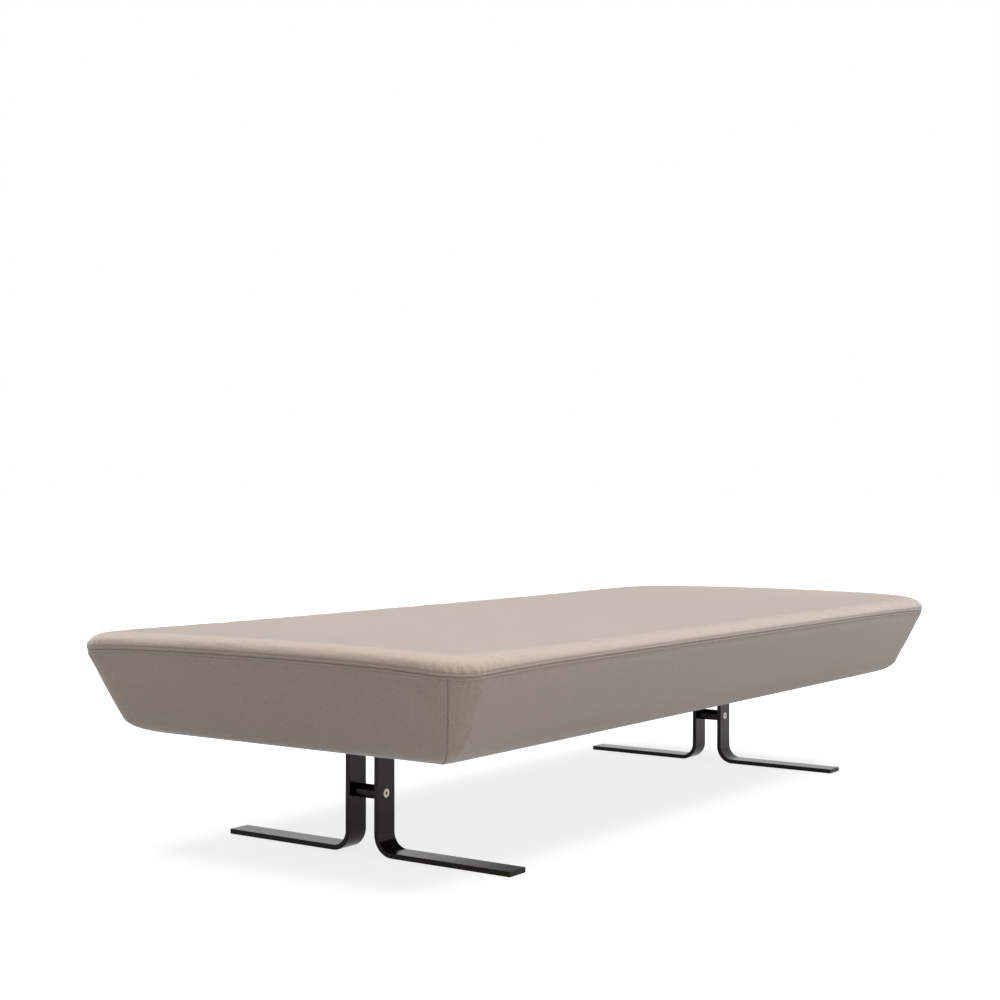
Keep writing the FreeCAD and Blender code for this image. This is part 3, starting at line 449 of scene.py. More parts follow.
def capped(rings, top=None, bottom=None):
    """Points and quads of rings joined one under the other, closed by a grid whose edge is the first
    ring, and by another whose edge is the last ring, where such a grid is given."""
    number = np.arange(rings.shape[0] * RING_POINTS).reshape(rings.shape[0], RING_POINTS)
    points, quads = [rings.reshape(-1, 3)], []
    for grid, edge_row, way in ((top, 0, 1), (bottom, -1, -1)):
        if grid is None:
            continue
        inner = sum(len(p) for p in points) + np.arange((GRID_ROWS - 1) * (GRID_COLUMNS - 1))
        numbered = np.zeros((GRID_ROWS + 1, GRID_COLUMNS + 1), int)
        numbered[1:-1, 1:-1] = inner.reshape(GRID_ROWS - 1, GRID_COLUMNS - 1)
        edge = np.roll(number[edge_row], TO_ARC_MIDDLE)
        numbered[:-1, -1] = edge[:GRID_ROWS]
        numbered[-1, :0:-1] = edge[GRID_ROWS:GRID_ROWS + GRID_COLUMNS]
        numbered[:0:-1, 0] = edge[GRID_ROWS + GRID_COLUMNS:2 * GRID_ROWS + GRID_COLUMNS]
        numbered[0, :-1] = edge[2 * GRID_ROWS + GRID_COLUMNS:]
        cells = np.stack([numbered[:-1, :-1], numbered[:-1, 1:], numbered[1:, 1:], numbered[1:, :-1]], -1)
        quads.append(cells.reshape(-1, 4)[:, ::way])
        points.append(grid[1:-1, 1:-1].reshape(-1, 3))
    after = np.roll(number, -1, axis=1)
    quads.append(np.stack([number[:-1], number[1:], after[1:], after[:-1]], -1).reshape(-1, 4))
    return np.concatenate(points), np.concatenate(quads).tolist()


# Foam core.
# A block of firm seating foam on the webbing, its sides cut to the slope of the rails, with its
# edges dulled by handling.

cut_foam, tree, shader = new_material("cut_foam")
at = add(tree, "TexCoord").outputs["Object"]
cells = add(tree, "TexVoronoi", {"Vector": at, "Scale": 700})
foam_tone = blend_colours(tree, ramp(tree, cells.outputs["Distance"], 0.2, 0.7),
                          (0.80, 0.74, 0.56, 1), (0.66, 0.58, 0.40, 1))
aged = ramp(tree, noise(tree, at, 6, 3), 0.4, 0.7, 0.0, 0.3)
tree.links.new(blend_colours(tree, aged, foam_tone, (0.70, 0.58, 0.34, 1)), shader.inputs["Base Color"])
tree.links.new(ramp(tree, cells.outputs["Distance"], 0, 0.7, 0.8, 1.0), shader.inputs["Roughness"])
shader.inputs["Specular IOR Level"].default_value = 0.2
open_cells = add(tree, "Bump", {"Height": cells.outputs["Distance"], "Strength": 0.6, "Distance": 0.0012})
tree.links.new(open_cells.outputs["Normal"], shader.inputs["Normal"])

FRAME_SLOPE = 0.496
SLOPE_TOP = 0.390
SIDE_FOAM = 0.028
SOFT_GAP = 0.0003
FRAME_CORNER_RADIUS = 0.004
DULLED = 0.004


def sloped_rings(heights, extra):
    """Nearly square rings on the slope of the rails' outer faces, drawn in by an extra inset."""
    z, extra = (np.asarray(values, float)[:, None] for values in (heights, extra))
    inset = FRAME_SLOPE * (SLOPE_TOP - z) + SIDE_FOAM + extra
    x, y, _, _ = plan_ring(SEAM_HALF_LENGTH - inset, SEAM_HALF_WIDTH - inset, FRAME_CORNER_RADIUS, bow=0)
    return np.stack([x, y, z + 0 * x], -1)


low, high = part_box("foam_core")
edge_turn = np.radians(np.linspace(0, 90, 5))
dulled, lifts = DULLED * (1 - np.sin(edge_turn)), DULLED * (1 - np.cos(edge_turn))
face_heights = np.linspace(high[2] - 1.5 * DULLED, low[2] + 1.5 * DULLED, 7)
core_heights = np.concatenate([high[2] - lifts, face_heights, low[2] + lifts[::-1]])
core_insets = np.concatenate([dulled, 0 * face_heights, dulled[::-1]]) + SOFT_GAP
core_rings = sloped_rings(core_heights, core_insets)
core_points, core_faces = capped(core_rings, filled(core_rings[0]), filled(core_rings[-1]))
core = new_piece("foam_core_block", core_points, core_faces, cut_foam)
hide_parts("foam_core")

# Edge foams.
# Four lengths of foam glued round the rails and the core, mitred at the corners. They carry the
# drawn-in sides and stop above the rails' lower arris.

COVER_WALL = 0.002
UNDER_COVER = COVER_WALL + 0.0004
EDGE_FOAM_BOTTOM = 0.2375
EDGE_FOAM_TOP = 0.3885


def edge_foam(name, first, count):
    """One length: a closed section carried round the ring from mitre to mitre. Its outer face is the
    sides' and the turn-under's, its inner face the slope of the rails."""
    outer = side_rings(np.linspace(0.02, 1, 12), UNDER_COVER)
    turned = turn_rings(np.radians(np.linspace(8, 38, 4)), UNDER_COVER)
    inner_heights = np.linspace(EDGE_FOAM_BOTTOM, EDGE_FOAM_TOP, 9)
    inner = sloped_rings(inner_heights, 0 * inner_heights - SOFT_GAP)
    columns = (first + np.arange(count + 1)) % RING_POINTS
    section = np.concatenate([outer, turned, inner])[:, columns]
    number = np.arange(section.shape[0] * section.shape[1]).reshape(section.shape[:2])
    below = np.roll(number, -1, axis=0)
    quads = np.stack([number[:, :-1], below[:, :-1], below[:, 1:], number[:, 1:]], -1).reshape(-1, 4)
    faces = quads.tolist() + [number[:, 0].tolist()[::-1], number[:, -1].tolist()]
    piece = new_piece(name + "_edge_foam", section, faces, cut_foam)
    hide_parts("edge_foam_" + name)


edge_foam("right", -TO_ARC_MIDDLE, GRID_ROWS)
edge_foam("rear", GRID_ROWS - TO_ARC_MIDDLE, GRID_COLUMNS)
edge_foam("left", HALF_POINTS - TO_ARC_MIDDLE, GRID_ROWS)
edge_foam("front", HALF_POINTS + GRID_ROWS - TO_ARC_MIDDLE, GRID_COLUMNS)

# Top padding.
# A layer of soft foam wrapped in fibre wadding, between the core and the top panel. It gives the
# top its crown and its full shoulders.

wadding, tree, shader = new_material("fibre_wadding")
at = add(tree, "TexCoord").outputs["Object"]
tufts = noise(tree, at, 60, 5)
strands = noise(tree, at, 420, 3, (1, 0.25, 1))
white = blend_colours(tree, ramp(tree, tufts, 0.3, 0.7), (0.80, 0.80, 0.78, 1), (0.93, 0.93, 0.91, 1))
tree.links.new(white, shader.inputs["Base Color"])
tree.links.new(ramp(tree, strands, 0.3, 0.7, 0.85, 1.0), shader.inputs["Roughness"])
tufted = add(tree, "Math", {0: tufts, 1: strands}, operation="ADD")
fluffed = add(tree, "Bump", {"Height": tufted.outputs[0], "Strength": 0.7, "Distance": 0.003})
tree.links.new(fluffed.outputs["Normal"], shader.inputs["Normal"])

CROWN_INSETS = np.array([66, 56, 46, 37, 29, 22, 16, 11, 7, 4, 2, 1, 0.4, 0]) / 1000
UNDER_INSETS = np.array([0, 10, 22, 36, 50, 66]) / 1000
EDGE_RUN = 0.05
EDGE_DROP = 0.0006
PADDING_UNDERSIDE = 0.3901
crown_rings = top_rings(CROWN_INSETS, UNDER_COVER)
under_rings = top_rings(UNDER_INSETS, UNDER_COVER)
level = np.clip(UNDER_INSETS / EDGE_RUN, 0, 1)[:, None]
at_edge = seam_level(under_rings[..., 0] / SEAM_HALF_LENGTH, under_rings[..., 1] / SEAM_HALF_WIDTH)
under_rings[..., 2] = (at_edge - UNDER_COVER - EDGE_DROP) * (1 - level) + PADDING_UNDERSIDE * level
padding_top = filled(crown_rings[0])
padding_top[..., 2] = crown_level(1.0, padding_top[..., 0], padding_top[..., 1]) - UNDER_COVER
padding_points, padding_faces = capped(np.concatenate([crown_rings, under_rings]), padding_top,
                                       filled(under_rings[-1]))
padding = new_piece("crowned_padding", padding_points, padding_faces, wadding)
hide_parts("top_padding")

# Cover.
# Milled taupe wool cloth with a felted face, sewn from five panels: the top, two long sides and
# two ends. A seam with twin topstitching runs round the top, and a plain seam down each corner.

GROOVE_DEPTH = 0.0024
GROOVE_WIDTH = 0.0016
STITCH_OFFSET = 0.0058
SEAM_STEPS = np.array([0, 0.6, 1.2, 1.8, 2.5, 3.3, 4.1, 4.9, 5.8, 6.7, 7.6, 8.8, 10.4, 12.4, 14.8, 17.6, 21,
                       25, 30, 35, 41, 47, 54, 61, 68, 74.5]) / 1000
SIDE_STEPS = np.concatenate([SEAM_STEPS[1:21] * 1000, np.arange(48, 139, 8.1)]) / 1000
SIDE_SLANT = 0.1396
MIDDLE_INSET = 0.15
MIDDLE_RINGS = 10
TURN_RINGS = 16
HEM_RINGS = 5
HEM_EDGE = 0.158
HEM_RADIUS = 0.003


def crown_insets(distances):
    """Insets whose distance from the seam over the crown's section is as given."""
    angle = np.linspace(0, math.pi / 2, 2001)
    inset = CROWN_RUN * (1 - np.cos(angle) ** (2 / CROWN_POWER))
    height = CROWN_HEIGHT * np.sin(angle) ** (2 / CROWN_POWER)
    length = np.concatenate([[0], np.cumsum(np.hypot(np.diff(inset), np.diff(height)))])
    return np.interp(distances, length, inset) + np.maximum(distances - length[-1], 0)


def cover_rings():
    """All rings of the cover from the flat middle's edge to the hem, and the seam's row. Inside the
    crown the rings turn from the round outline into the edge of the middle's grid."""
    crown = top_rings(crown_insets(SEAM_STEPS[::-1]))
    up = np.linspace(-1, 1, GRID_ROWS + 1)[:-1]
    back = np.linspace(1, -1, GRID_COLUMNS + 1)[:-1]
    x = np.concatenate([np.ones(GRID_ROWS), back, -np.ones(GRID_ROWS), -back])
    y = np.concatenate([up, np.ones(GRID_COLUMNS), -up, -np.ones(GRID_COLUMNS)])
    inner = np.stack([x * (SEAM_HALF_LENGTH - MIDDLE_INSET), y * (SEAM_HALF_WIDTH - MIDDLE_INSET)], -1)
    inner = np.roll(inner, -TO_ARC_MIDDLE, axis=0)
    share = np.linspace(0, 1, MIDDLE_RINGS + 1)[:-1, None, None]
    plan = inner * (1 - share) + crown[0, :, :2] * share
    middle = np.concatenate([plan, crown_level(1.0, plan[..., 0], plan[..., 1])[..., None]], -1)
    sides = side_rings(SIDE_STEPS / SIDE_SLANT)
    turned = turn_rings(np.radians(np.linspace(0, 90, TURN_RINGS)))
    inset = np.array([[HEM_EDGE]])
    hem_x, hem_y, _, _ = plan_ring(SEAM_HALF_LENGTH - inset, SEAM_HALF_WIDTH - inset, HEM_RADIUS)
    hem_edge = np.stack([hem_x, hem_y, np.full_like(hem_x, UNDERSIDE)], -1)
    tucked = np.linspace(0, 1, HEM_RINGS + 1)[1:, None, None]
    hem = turned[-1:] * (1 - tucked) + hem_edge * tucked
    return np.concatenate([middle, crown, sides, turned, hem]), len(middle) + len(crown) - 1


def ring_normals(points):
    """Unit normals of rings, from the cross product of the step down and the step round."""
    along = np.roll(points, -1, 1) - np.roll(points, 1, 1)
    normal = np.cross(np.gradient(points, axis=0), along)
    return normal / np.linalg.norm(normal, axis=-1, keepdims=True)


def bell(distance, width):
    """A smooth bump of height 1: the exponential of minus the squared share of its width."""
    return np.exp(-(distance / width) ** 2)


cover, SEAM_ROW = cover_rings()
down = np.linalg.norm(np.diff(cover, axis=0), axis=-1)
down = np.concatenate([np.zeros((1, RING_POINTS)), np.cumsum(down, 0)])
from_seam = down - down[SEAM_ROW]
ring_steps = np.linalg.norm(np.roll(cover[SEAM_ROW], -1, 0) - cover[SEAM_ROW], axis=-1)
ring_place = np.concatenate([[0], np.cumsum(ring_steps)[:-1]])
ring_length = ring_steps.sum()
corner_seams = np.array([0, END_COUNT, HALF_POINTS, HALF_POINTS + END_COUNT])
gaps = (ring_place[:, None] - ring_place[corner_seams] + ring_length / 2) % ring_length - ring_length / 2
corner_gap = np.abs(gaps).min(1)

# Height, distance from the seam and width of the ridges and hollows beside the top seam, and of
# those along the corner seams.
BESIDE_TOP_SEAM = ((0.0006, 0.0032, 0.0016), (-0.00035, STITCH_OFFSET, 0.0010), (0.0003, 0.0090, 0.0024))
ALONG_CORNER_SEAM = ((-0.0016, 0, 0.0018), (0.0004, 0.0045, 0.003))
relief = -GROOVE_DEPTH * bell(from_seam, GROOVE_WIDTH)
for height, distance, width in BESIDE_TOP_SEAM:
    relief += height * bell(np.abs(from_seam) - distance, width)
below_seam = np.clip((from_seam - 0.002) / 0.006, 0, 1)
for height, distance, width in ALONG_CORNER_SEAM:
    relief += height * bell(corner_gap - distance, width) * below_seam

WANDER_STEPS = (0.031, 0.0137)


def puckers(length, wander, seed):
    """Waves round the ring with an uneven length: a sine whose phase wanders by two slower sines."""
    draw = np.random.default_rng(seed)
    first, second, third = draw.uniform(0, 2 * math.pi, 3)
    short_way, long_way = ring_place / WANDER_STEPS[1], ring_place / WANDER_STEPS[0]
    slow = np.sin(long_way + first) + 0.7 * np.sin(short_way + second)
    return np.sin(2 * math.pi * ring_place / length + wander * slow + third)


above_all = bell(from_seam + 0.013, 0.009)
above_corner = bell(np.maximum(corner_gap - 0.075, 0), 0.045) * bell(from_seam + 0.0115, 0.0075)
below_all = np.clip((from_seam - 0.006) / 0.004, 0, 1) * bell(np.maximum(from_seam - 0.011, 0), 0.017)
below_corner = bell(np.maximum(corner_gap - 0.03, 0), 0.03) * below_all
for height, length, wander, seed, region in ((0.0010, 0.0165, 1.3, 4, above_corner),
                                             (0.00035, 0.0230, 1.6, 9, above_all),
                                             (0.0011, 0.0170, 1.2, 12, below_corner),
                                             (0.00025, 0.0270, 1.8, 17, below_all)):
    relief += height * puckers(length, wander, seed) * region
cover = cover + ring_normals(cover) * relief[..., None]

SETTLE_FRAMES = 20
PRESSURE = 3
SETTLE_REACH = 0.0014
TOP_GROWTH = 0.004
SIDE_GROWTH = 0.001
SEAM_HOLD = 0.018
CORNER_HOLD = 0.014
HOLD_FADE = 0.010
MIDDLE_HOLD = 0.055
MIDDLE_FADE = 0.06
UNDER_HOLD = 0.165
UNDER_FADE = 0.03


def settle(piece, held, growth):
    """Plumps a panel before it gets its thickness: cloth under air pressure without gravity, fixed
    where held is 1 and cut larger by the growth. A point moves by the reach times the hyperbolic
    tangent of its free movement over the reach."""
    pins = piece.vertex_groups.new(name="held")
    for weight in range(11):
        pins.add(np.flatnonzero(np.rint(held * 10) == weight).tolist(), weight / 10, "REPLACE")
    cloth = piece.modifiers.new("cloth", "CLOTH")
    settings = cloth.settings
    settings.quality, settings.mass, settings.air_damping = 3, 0.003, 2
    settings.tension_stiffness = settings.compression_stiffness = 8
    settings.shear_stiffness, settings.bending_stiffness = 4, 0.5
    settings.vertex_group_mass, settings.pin_stiffness = "held", 1
    settings.use_pressure, settings.uniform_pressure_force = True, PRESSURE
    settings.shrink_min = -growth
    settings.effector_weights.gravity = 0
    cloth.collision_settings.use_collision = False
    cloth.point_cache.frame_start, cloth.point_cache.frame_end = 1, SETTLE_FRAMES
    for frame in range(1, SETTLE_FRAMES + 1):
        bpy.context.scene.frame_set(frame)
    after = np.empty(len(piece.data.vertices) * 3)
    before = np.empty_like(after)
    piece.data.vertices.foreach_get("co", before)
    piece.evaluated_get(bpy.context.evaluated_depsgraph_get()).data.vertices.foreach_get("co", after)
    piece.modifiers.remove(cloth)
    piece.vertex_groups.remove(pins)
    bpy.context.scene.frame_set(1)
    move = (after - before).reshape(-1, 3)
    length = np.maximum(np.linalg.norm(move, axis=1, keepdims=True), 1e-9)
    move *= SETTLE_REACH * np.tanh(length / SETTLE_REACH) / length
    piece.data.vertices.foreach_set("co", (before.reshape(-1, 3) + move).ravel())
    piece.data.update()


near_seam = np.clip((SEAM_HOLD - np.abs(from_seam)) / HOLD_FADE, 0, 1)

wool, tree, shader = new_material("taupe_wool")
at = add(tree, "TexCoord").outputs["Object"]
uv = add(tree, "UVMap", uv_map="cloth").outputs["UV"]
fibres = noise(tree, at, 700, 3)
flock = noise(tree, at, 260, 3)
cloud = noise(tree, at, 11, 3)
felted = blend_colours(tree, ramp(tree, fibres, 0.32, 0.68),
                       (0.352, 0.262, 0.212, 1), (0.470, 0.357, 0.294, 1))
felted = blend_colours(tree, ramp(tree, flock, 0.35, 0.65, 0.0, 0.22), felted, (0.535, 0.42, 0.352, 1))
felted = blend_colours(tree, ramp(tree, cloud, 0.35, 0.65, 0.0, 0.10), felted, (0.335, 0.258, 0.214, 1))
tree.links.new(felted, shader.inputs["Base Color"])
tree.links.new(ramp(tree, fibres, 0.3, 0.7, 0.98, 0.84), shader.inputs["Roughness"])
shader.inputs["Sheen Weight"].default_value = 0.75
shader.inputs["Sheen Roughness"].default_value = 0.45
shader.inputs["Sheen Tint"].default_value = (0.95, 0.98, 1.0, 1)
shader.inputs["Specular IOR Level"].default_value = 0.2
turned_uv = add(tree, "Mapping", {"Vector": uv, "Rotation": (0, 0, 0.9)}).outputs["Vector"]
twill = add(tree, "TexWave", {"Vector": turned_uv, "Scale": 150, "Distortion": 2.5, "Detail": 2,
                              "Detail Scale": 3})
weave = add(tree, "Math", {0: twill.outputs["Fac"], 1: 0.35, 2: fibres}, operation="MULTIPLY_ADD")
nap = add(tree, "Bump", {"Height": weave.outputs[0], "Strength": 0.3, "Distance": 0.0006})
pile = add(tree, "Bump", {"Height": flock, "Strength": 0.2, "Distance": 0.001,
                          "Normal": nap.outputs["Normal"]})
tree.links.new(pile.outputs["Normal"], shader.inputs["Normal"])

middle_grid = filled(cover[0])
middle_grid[..., 2] = crown_level(1.0, middle_grid[..., 0], middle_grid[..., 1])
top_points, top_faces = capped(cover[:SEAM_ROW + 1], middle_grid)
top_panel = new_piece("top_panel_cloth", top_points, top_faces, wool)
give_uv(top_panel, top_points[:, :2])
in_middle = np.clip((down[SEAM_ROW] - down[:SEAM_ROW + 1] - MIDDLE_HOLD) / MIDDLE_FADE, 0, 1)
held_rings = np.maximum(near_seam[:SEAM_ROW + 1], in_middle).ravel()
settle(top_panel, np.concatenate([held_rings, np.ones(len(top_points) - in_middle.size)]), TOP_GROWTH)
thicken(top_panel, COVER_WALL)
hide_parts("cover_top")


def side_panel(name, first, count):
    """A side panel from one corner seam to the next, from the seam down and under to its hem."""
    columns = (first + np.arange(count + 1)) % RING_POINTS
    panel = cover[SEAM_ROW:, columns]
    faces = grid_faces(*panel.shape[:2])[:, ::-1].tolist()
    piece = new_piece(name + "_panel_cloth", panel, faces, wool)
    place = np.where(columns < first, ring_place[columns] + ring_length, ring_place[columns])
    give_uv(piece, np.stack([np.broadcast_to(place, panel.shape[:2]), -from_seam[SEAM_ROW:, columns]], -1))
    at_corner = np.clip((CORNER_HOLD - corner_gap[columns]) / HOLD_FADE, 0, 1)
    under = np.clip((from_seam[SEAM_ROW:, columns] - UNDER_HOLD) / UNDER_FADE, 0, 1)
    held = np.maximum(np.maximum(near_seam[SEAM_ROW:, columns], at_corner), under)
    settle(piece, held.ravel(), SIDE_GROWTH)
    thicken(piece, COVER_WALL)
    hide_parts("cover_" + name)


side_panel("right", 0, END_COUNT)
side_panel("rear", END_COUNT, LONG_COUNT)
side_panel("left", HALF_POINTS, END_COUNT)
side_panel("front", HALF_POINTS + END_COUNT, LONG_COUNT)

# Topstitching.
# Two rows of thick thread, one each side of the top seam. Each stitch lies in the groove that it
# pulls into the cloth and dips at both ends.

thread, tree, shader = new_material("taupe_thread")
at = add(tree, "TexCoord").outputs["Object"]
plies = noise(tree, at, 1800, 2)
spun = blend_colours(tree, plies, (0.27, 0.21, 0.18, 1), (0.40, 0.315, 0.27, 1))
tree.links.new(spun, shader.inputs["Base Color"])
tree.links.new(ramp(tree, plies, 0.3, 0.7, 0.7, 0.5), shader.inputs["Roughness"])
twisted = add(tree, "Bump", {"Height": plies, "Strength": 0.4, "Distance": 0.0002})
tree.links.new(twisted.outputs["Normal"], shader.inputs["Normal"])

STITCH_PITCH = 0.0048
STITCH_SPAN = 0.0038
STITCH_RINGS = 5
STITCH_SIDES = 5
STITCH_LIFT = 0.00030
STITCH_DIP = 0.0009
THREAD_RADIUS = 0.00034
THREAD_TAPER = 0.35


def stitch_row(row):
    """Stitches along one ring of the cover: a few five-sided rings each, along an arch that dips into
    the cloth and tapers by the fourth power of the share from its middle."""
    path, outwards = cover[row], ring_normals(cover[row - 1:row + 2])[1]
    steps = np.linalg.norm(np.roll(path, -1, 0) - path, axis=-1)
    place = np.concatenate([[0], np.cumsum(steps)])
    count = int(place[-1] / STITCH_PITCH)
    share = np.linspace(-1, 1, STITCH_RINGS)
    want = (np.arange(count)[:, None] + 0.5) * place[-1] / count + share[None] * STITCH_SPAN / 2
    closed, closed_out = (np.concatenate([values, values[:1]]) for values in (path, outwards))
    centre = np.stack([np.interp(want, place, closed[:, axis]) for axis in range(3)], -1)
    out = np.stack([np.interp(want, place, closed_out[:, axis]) for axis in range(3)], -1)
    forward = np.gradient(centre, axis=1)
    forward /= np.linalg.norm(forward, axis=-1, keepdims=True)
    side = np.cross(forward, out)
    centre = centre + out * (STITCH_LIFT - STITCH_DIP * share ** 4)[None, :, None]
    turn = np.linspace(0, 2 * math.pi, STITCH_SIDES + 1)[:-1]
    thick = (THREAD_RADIUS * (1 - THREAD_TAPER * share ** 4))[None, :, None, None]
    ring = out[..., None, :] * np.sin(turn)[:, None] + side[..., None, :] * np.cos(turn)[:, None]
    points = centre[..., None, :] + thick * ring
    number = np.arange(count * STITCH_RINGS * STITCH_SIDES).reshape(count, STITCH_RINGS, STITCH_SIDES)
    after = np.roll(number, -1, axis=2)
    quads = np.stack([number[:, :-1], number[:, 1:], after[:, 1:], after[:, :-1]], -1).reshape(-1, 4)
    ends = np.concatenate([number[:, 0], number[:, -1, ::-1]])
    return points.reshape(-1, 3), quads.tolist(), ends.tolist()


stitch_points, stitch_faces = [], []
row_above = SEAM_ROW + 1 - len(SEAM_STEPS) + np.abs(SEAM_STEPS[::-1] - STITCH_OFFSET).argmin()
row_below = SEAM_ROW + 1 + np.abs(SIDE_STEPS - STITCH_OFFSET).argmin()
for row in (row_above, row_below):
    made, quads, ends = stitch_row(row)
    base = sum(len(points) for points in stitch_points)
    stitch_points.append(made)
    stitch_faces += [[base + corner for corner in face] for face in quads + ends]
new_piece("topstitching", np.concatenate(stitch_points), stitch_faces, thread)

# Underside lining.
# Black non-woven polypropylene, cut 655 by 1788 mm with a hole round each leg plate, stapled
# through the hem. It sags a little between the bearers.

lining_cloth, tree, shader = new_material("lining_cloth")
at = add(tree, "TexCoord").outputs["Object"]
matted = noise(tree, at, 500, 5, (1, 0.4, 1))
embossed = add(tree, "TexVoronoi", {"Vector": at, "Scale": 420})
black = blend_colours(tree, ramp(tree, matted, 0.35, 0.65),
                      (0.008, 0.008, 0.009, 1), (0.035, 0.035, 0.037, 1))
tree.links.new(black, shader.inputs["Base Color"])
tree.links.new(ramp(tree, matted, 0.3, 0.7, 0.55, 0.8), shader.inputs["Roughness"])
pressed = add(tree, "Math", {0: matted, 1: embossed.outputs["Distance"]}, operation="ADD")
fibre_bump = add(tree, "Bump", {"Height": pressed.outputs[0], "Strength": 0.4, "Distance": 0.0005})
tree.links.new(fibre_bump.outputs["Normal"], shader.inputs["Normal"])

LINING_WALL = 0.0008
CUTOUT_GAP = 0.0015
LINING_STEP = 0.011
BAY_START = 0.04
BAY_END = 0.613
RAIL_HOLD = 0.028
SAG_DEPTH = 0.0055
EDGE_LIFT = 0.0010
LIFT_RUN = 0.02
RIPPLE_HEIGHT = 0.0006
low, high = (np.array(corner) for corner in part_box("underside_lining"))
plate_low, plate_high = (np.array(corner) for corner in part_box("leg_plate_right"))
hole_x = np.array([plate_low[0] - CUTOUT_GAP, plate_high[0] + CUTOUT_GAP])
hole_y = plate_high[1] + CUTOUT_GAP
x_breaks = np.concatenate([[low[0]], -hole_x[::-1], hole_x, [high[0]]])
y_breaks = np.array([low[1], -hole_y, hole_y, high[1]])


def even_steps(breaks, step):
    """Places at about a step apart that include every break."""
    runs = [np.linspace(a, b, max(int(round((b - a) / step)), 2) + 1)[:-1]
            for a, b in zip(breaks, breaks[1:])]
    return np.concatenate(runs + [breaks[-1:]])


x, y = np.meshgrid(even_steps(x_breaks, LINING_STEP), even_steps(y_breaks, LINING_STEP))
bay = (np.abs(x) - BAY_START) / (BAY_END - BAY_START)
along = np.where((bay > 0) & (bay < 1), np.sin(np.pi * np.clip(bay, 0, 1)), 0) ** 1.5
across = np.clip((high[1] - RAIL_HOLD - np.abs(y)) / (high[1] - RAIL_HOLD), 0, 1)
slack = along * (1 - (1 - across) ** 2)
from_edge = np.minimum(high[0] - np.abs(x), high[1] - np.abs(y))
lifted = EDGE_LIFT * np.clip(1 - from_edge / LIFT_RUN, 0, 1) ** 2
ripple = RIPPLE_HEIGHT * np.sin(x / 0.013 + 1.7 * np.sin(y / 0.05)) * slack
lining_points = np.stack([x, y, high[2] - SAG_DEPTH * slack + ripple + lifted], -1)
quads = grid_faces(*x.shape)
middles = lining_points.reshape(-1, 3)[quads].mean(1)
in_hole = ((np.abs(middles[:, 0]) > hole_x[0]) & (np.abs(middles[:, 0]) < hole_x[1])
           & (np.abs(middles[:, 1]) < hole_y))
used, renumbered = np.unique(quads[~in_hole], return_inverse=True)
lining = new_piece("sagging_lining", lining_points.reshape(-1, 3)[used], renumbered.reshape(-1, 4).tolist(),
                   lining_cloth)
thicken(lining, LINING_WALL)
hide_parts("underside_lining")

# Floor, lamps and camera.
# A plain white floor under soft studio light from above and a weak lamp from the front, with a low
# camera that looks at the left front corner.

FLOOR_REACH = 400.0
FLOOR_GLOW = 0.80
floor_paint, tree, shader = new_material("floor_paint")
at = add(tree, "TexCoord").outputs["Object"]
floor_tone = blend_colours(tree, noise(tree, at, 3, 2), (0.38, 0.38, 0.38, 1), (0.41, 0.41, 0.41, 1))
tree.links.new(floor_tone, shader.inputs["Base Color"])
shader.inputs["Roughness"].default_value = 0.9
shader.inputs["Specular IOR Level"].default_value = 0.1


def seen_rays(tree):
    """1 for camera, glossy and transmission rays, 0 for the others."""
    path = add(tree, "LightPath")
    first = add(tree, "Math", {0: path.outputs["Is Camera Ray"], 1: path.outputs["Is Glossy Ray"]},
                operation="MAXIMUM")
    return add(tree, "Math", {0: first.outputs[0], 1: path.outputs["Is Transmission Ray"]},
               operation="MAXIMUM").outputs[0]


glow = add(tree, "Math", {0: seen_rays(tree), 1: FLOOR_GLOW}, operation="MULTIPLY")
tree.links.new(glow.outputs[0], shader.inputs["Emission Strength"])
shader.inputs["Emission Color"].default_value = (1, 1, 1, 1)

corners = np.array([[-1, -1, 0], [1, -1, 0], [1, 1, 0], [-1, 1, 0]]) * FLOOR_REACH
floor_mesh = bpy.data.meshes.new("floor")
floor_mesh.from_pydata(corners.tolist(), [], [[0, 1, 2, 3]])
floor_mesh.materials.append(floor_paint)
floor = bpy.data.objects.new("floor", floor_mesh)
bpy.context.scene.collection.objects.link(floor)

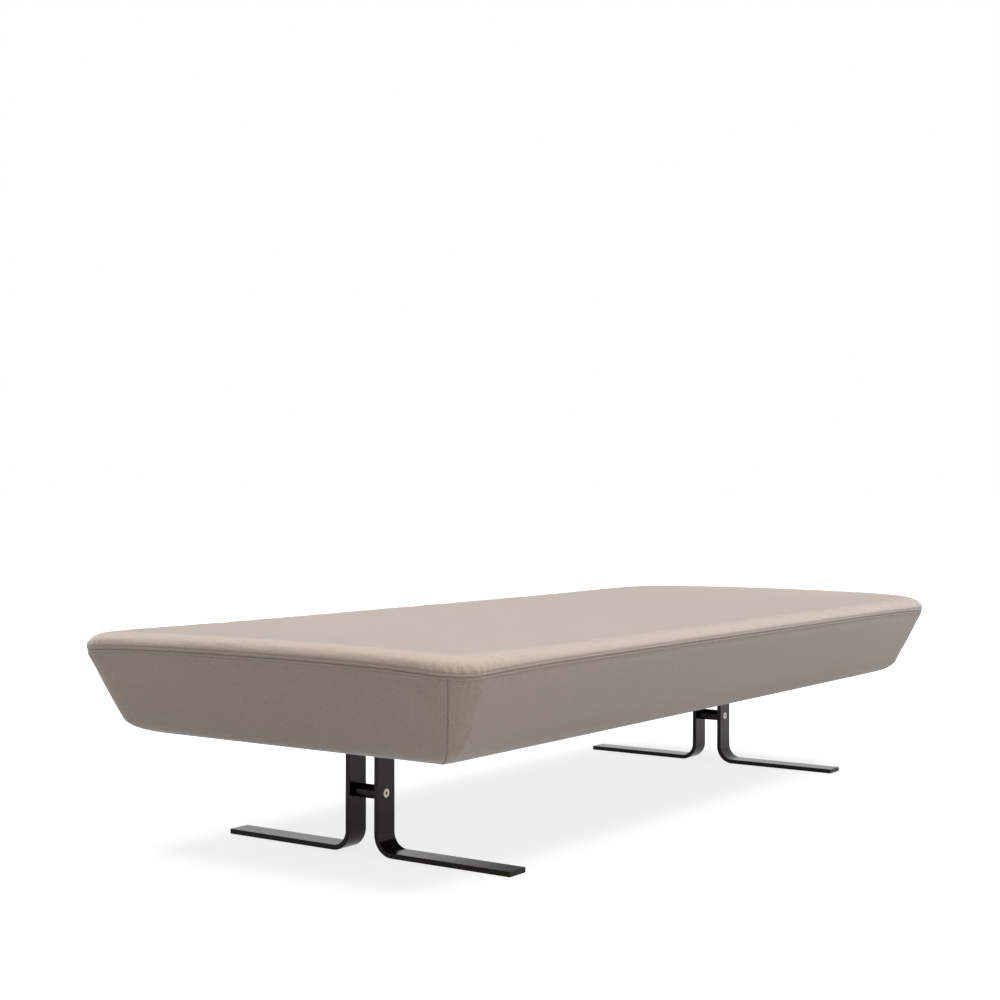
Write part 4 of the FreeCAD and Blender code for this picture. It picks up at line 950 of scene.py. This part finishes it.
AMBIENT = 0.225
world = bpy.data.worlds.new("studio")
bpy.context.scene.world = world
world.use_nodes = True
tree = world.node_tree
tree.nodes.clear()
sky = add(tree, "Background", {"Color": (1, 1, 1, 1)})
strength = ramp(tree, seen_rays(tree), 0, 1, AMBIENT, 1.0)
tree.links.new(strength, sky.inputs["Strength"])
tree.links.new(sky.outputs[0], add(tree, "OutputWorld").inputs["Surface"])


def lamp(name, towards, strength, softness, colour):
    """A sun lamp that shines in a direction, with its softness as an angle in degrees."""
    data = bpy.data.lights.new(name, "SUN")
    data.energy = strength
    data.color = colour
    data.angle = math.radians(softness)
    made = bpy.data.objects.new(name, data)
    bpy.context.scene.collection.objects.link(made)
    made.rotation_mode = "QUATERNION"
    made.rotation_quaternion = Vector(towards).to_track_quat("-Z", "Y")


lamp("overhead", (-0.12, 0.10, -1.0), 4.6, 60, (0.95, 0.985, 1.0))
lamp("side_fill", (-0.1, 1.0, -0.25), 0.36, 60, (1.0, 0.98, 0.95))

CAMERA_PLACE = (-3.1979, -2.0552, 0.6800)
CAMERA_TURN = math.radians(-55.051)
CAMERA_TILT = math.radians(0.186)
CAMERA_ROLL = math.radians(0.031)
CAMERA_LENS = 61.28
camera = bpy.data.cameras.new("camera")
camera.sensor_width = 36
camera.lens = CAMERA_LENS
camera.clip_end = 2 * FLOOR_REACH
seen_from = bpy.data.objects.new("camera", camera)
bpy.context.scene.collection.objects.link(seen_from)
forward = Vector((-math.sin(CAMERA_TURN) * math.cos(CAMERA_TILT),
                  math.cos(CAMERA_TURN) * math.cos(CAMERA_TILT), -math.sin(CAMERA_TILT)))
right = Vector((math.cos(CAMERA_TURN), math.sin(CAMERA_TURN), 0))
up = right.cross(forward)
right, up = (right * math.cos(CAMERA_ROLL) + up * math.sin(CAMERA_ROLL),
             up * math.cos(CAMERA_ROLL) - right * math.sin(CAMERA_ROLL))
turn = Matrix((right, up, -forward)).transposed().to_4x4()
seen_from.matrix_world = Matrix.Translation(CAMERA_PLACE) @ turn
bpy.context.scene.camera = seen_from
bpy.context.scene.view_settings.view_transform = "Standard"
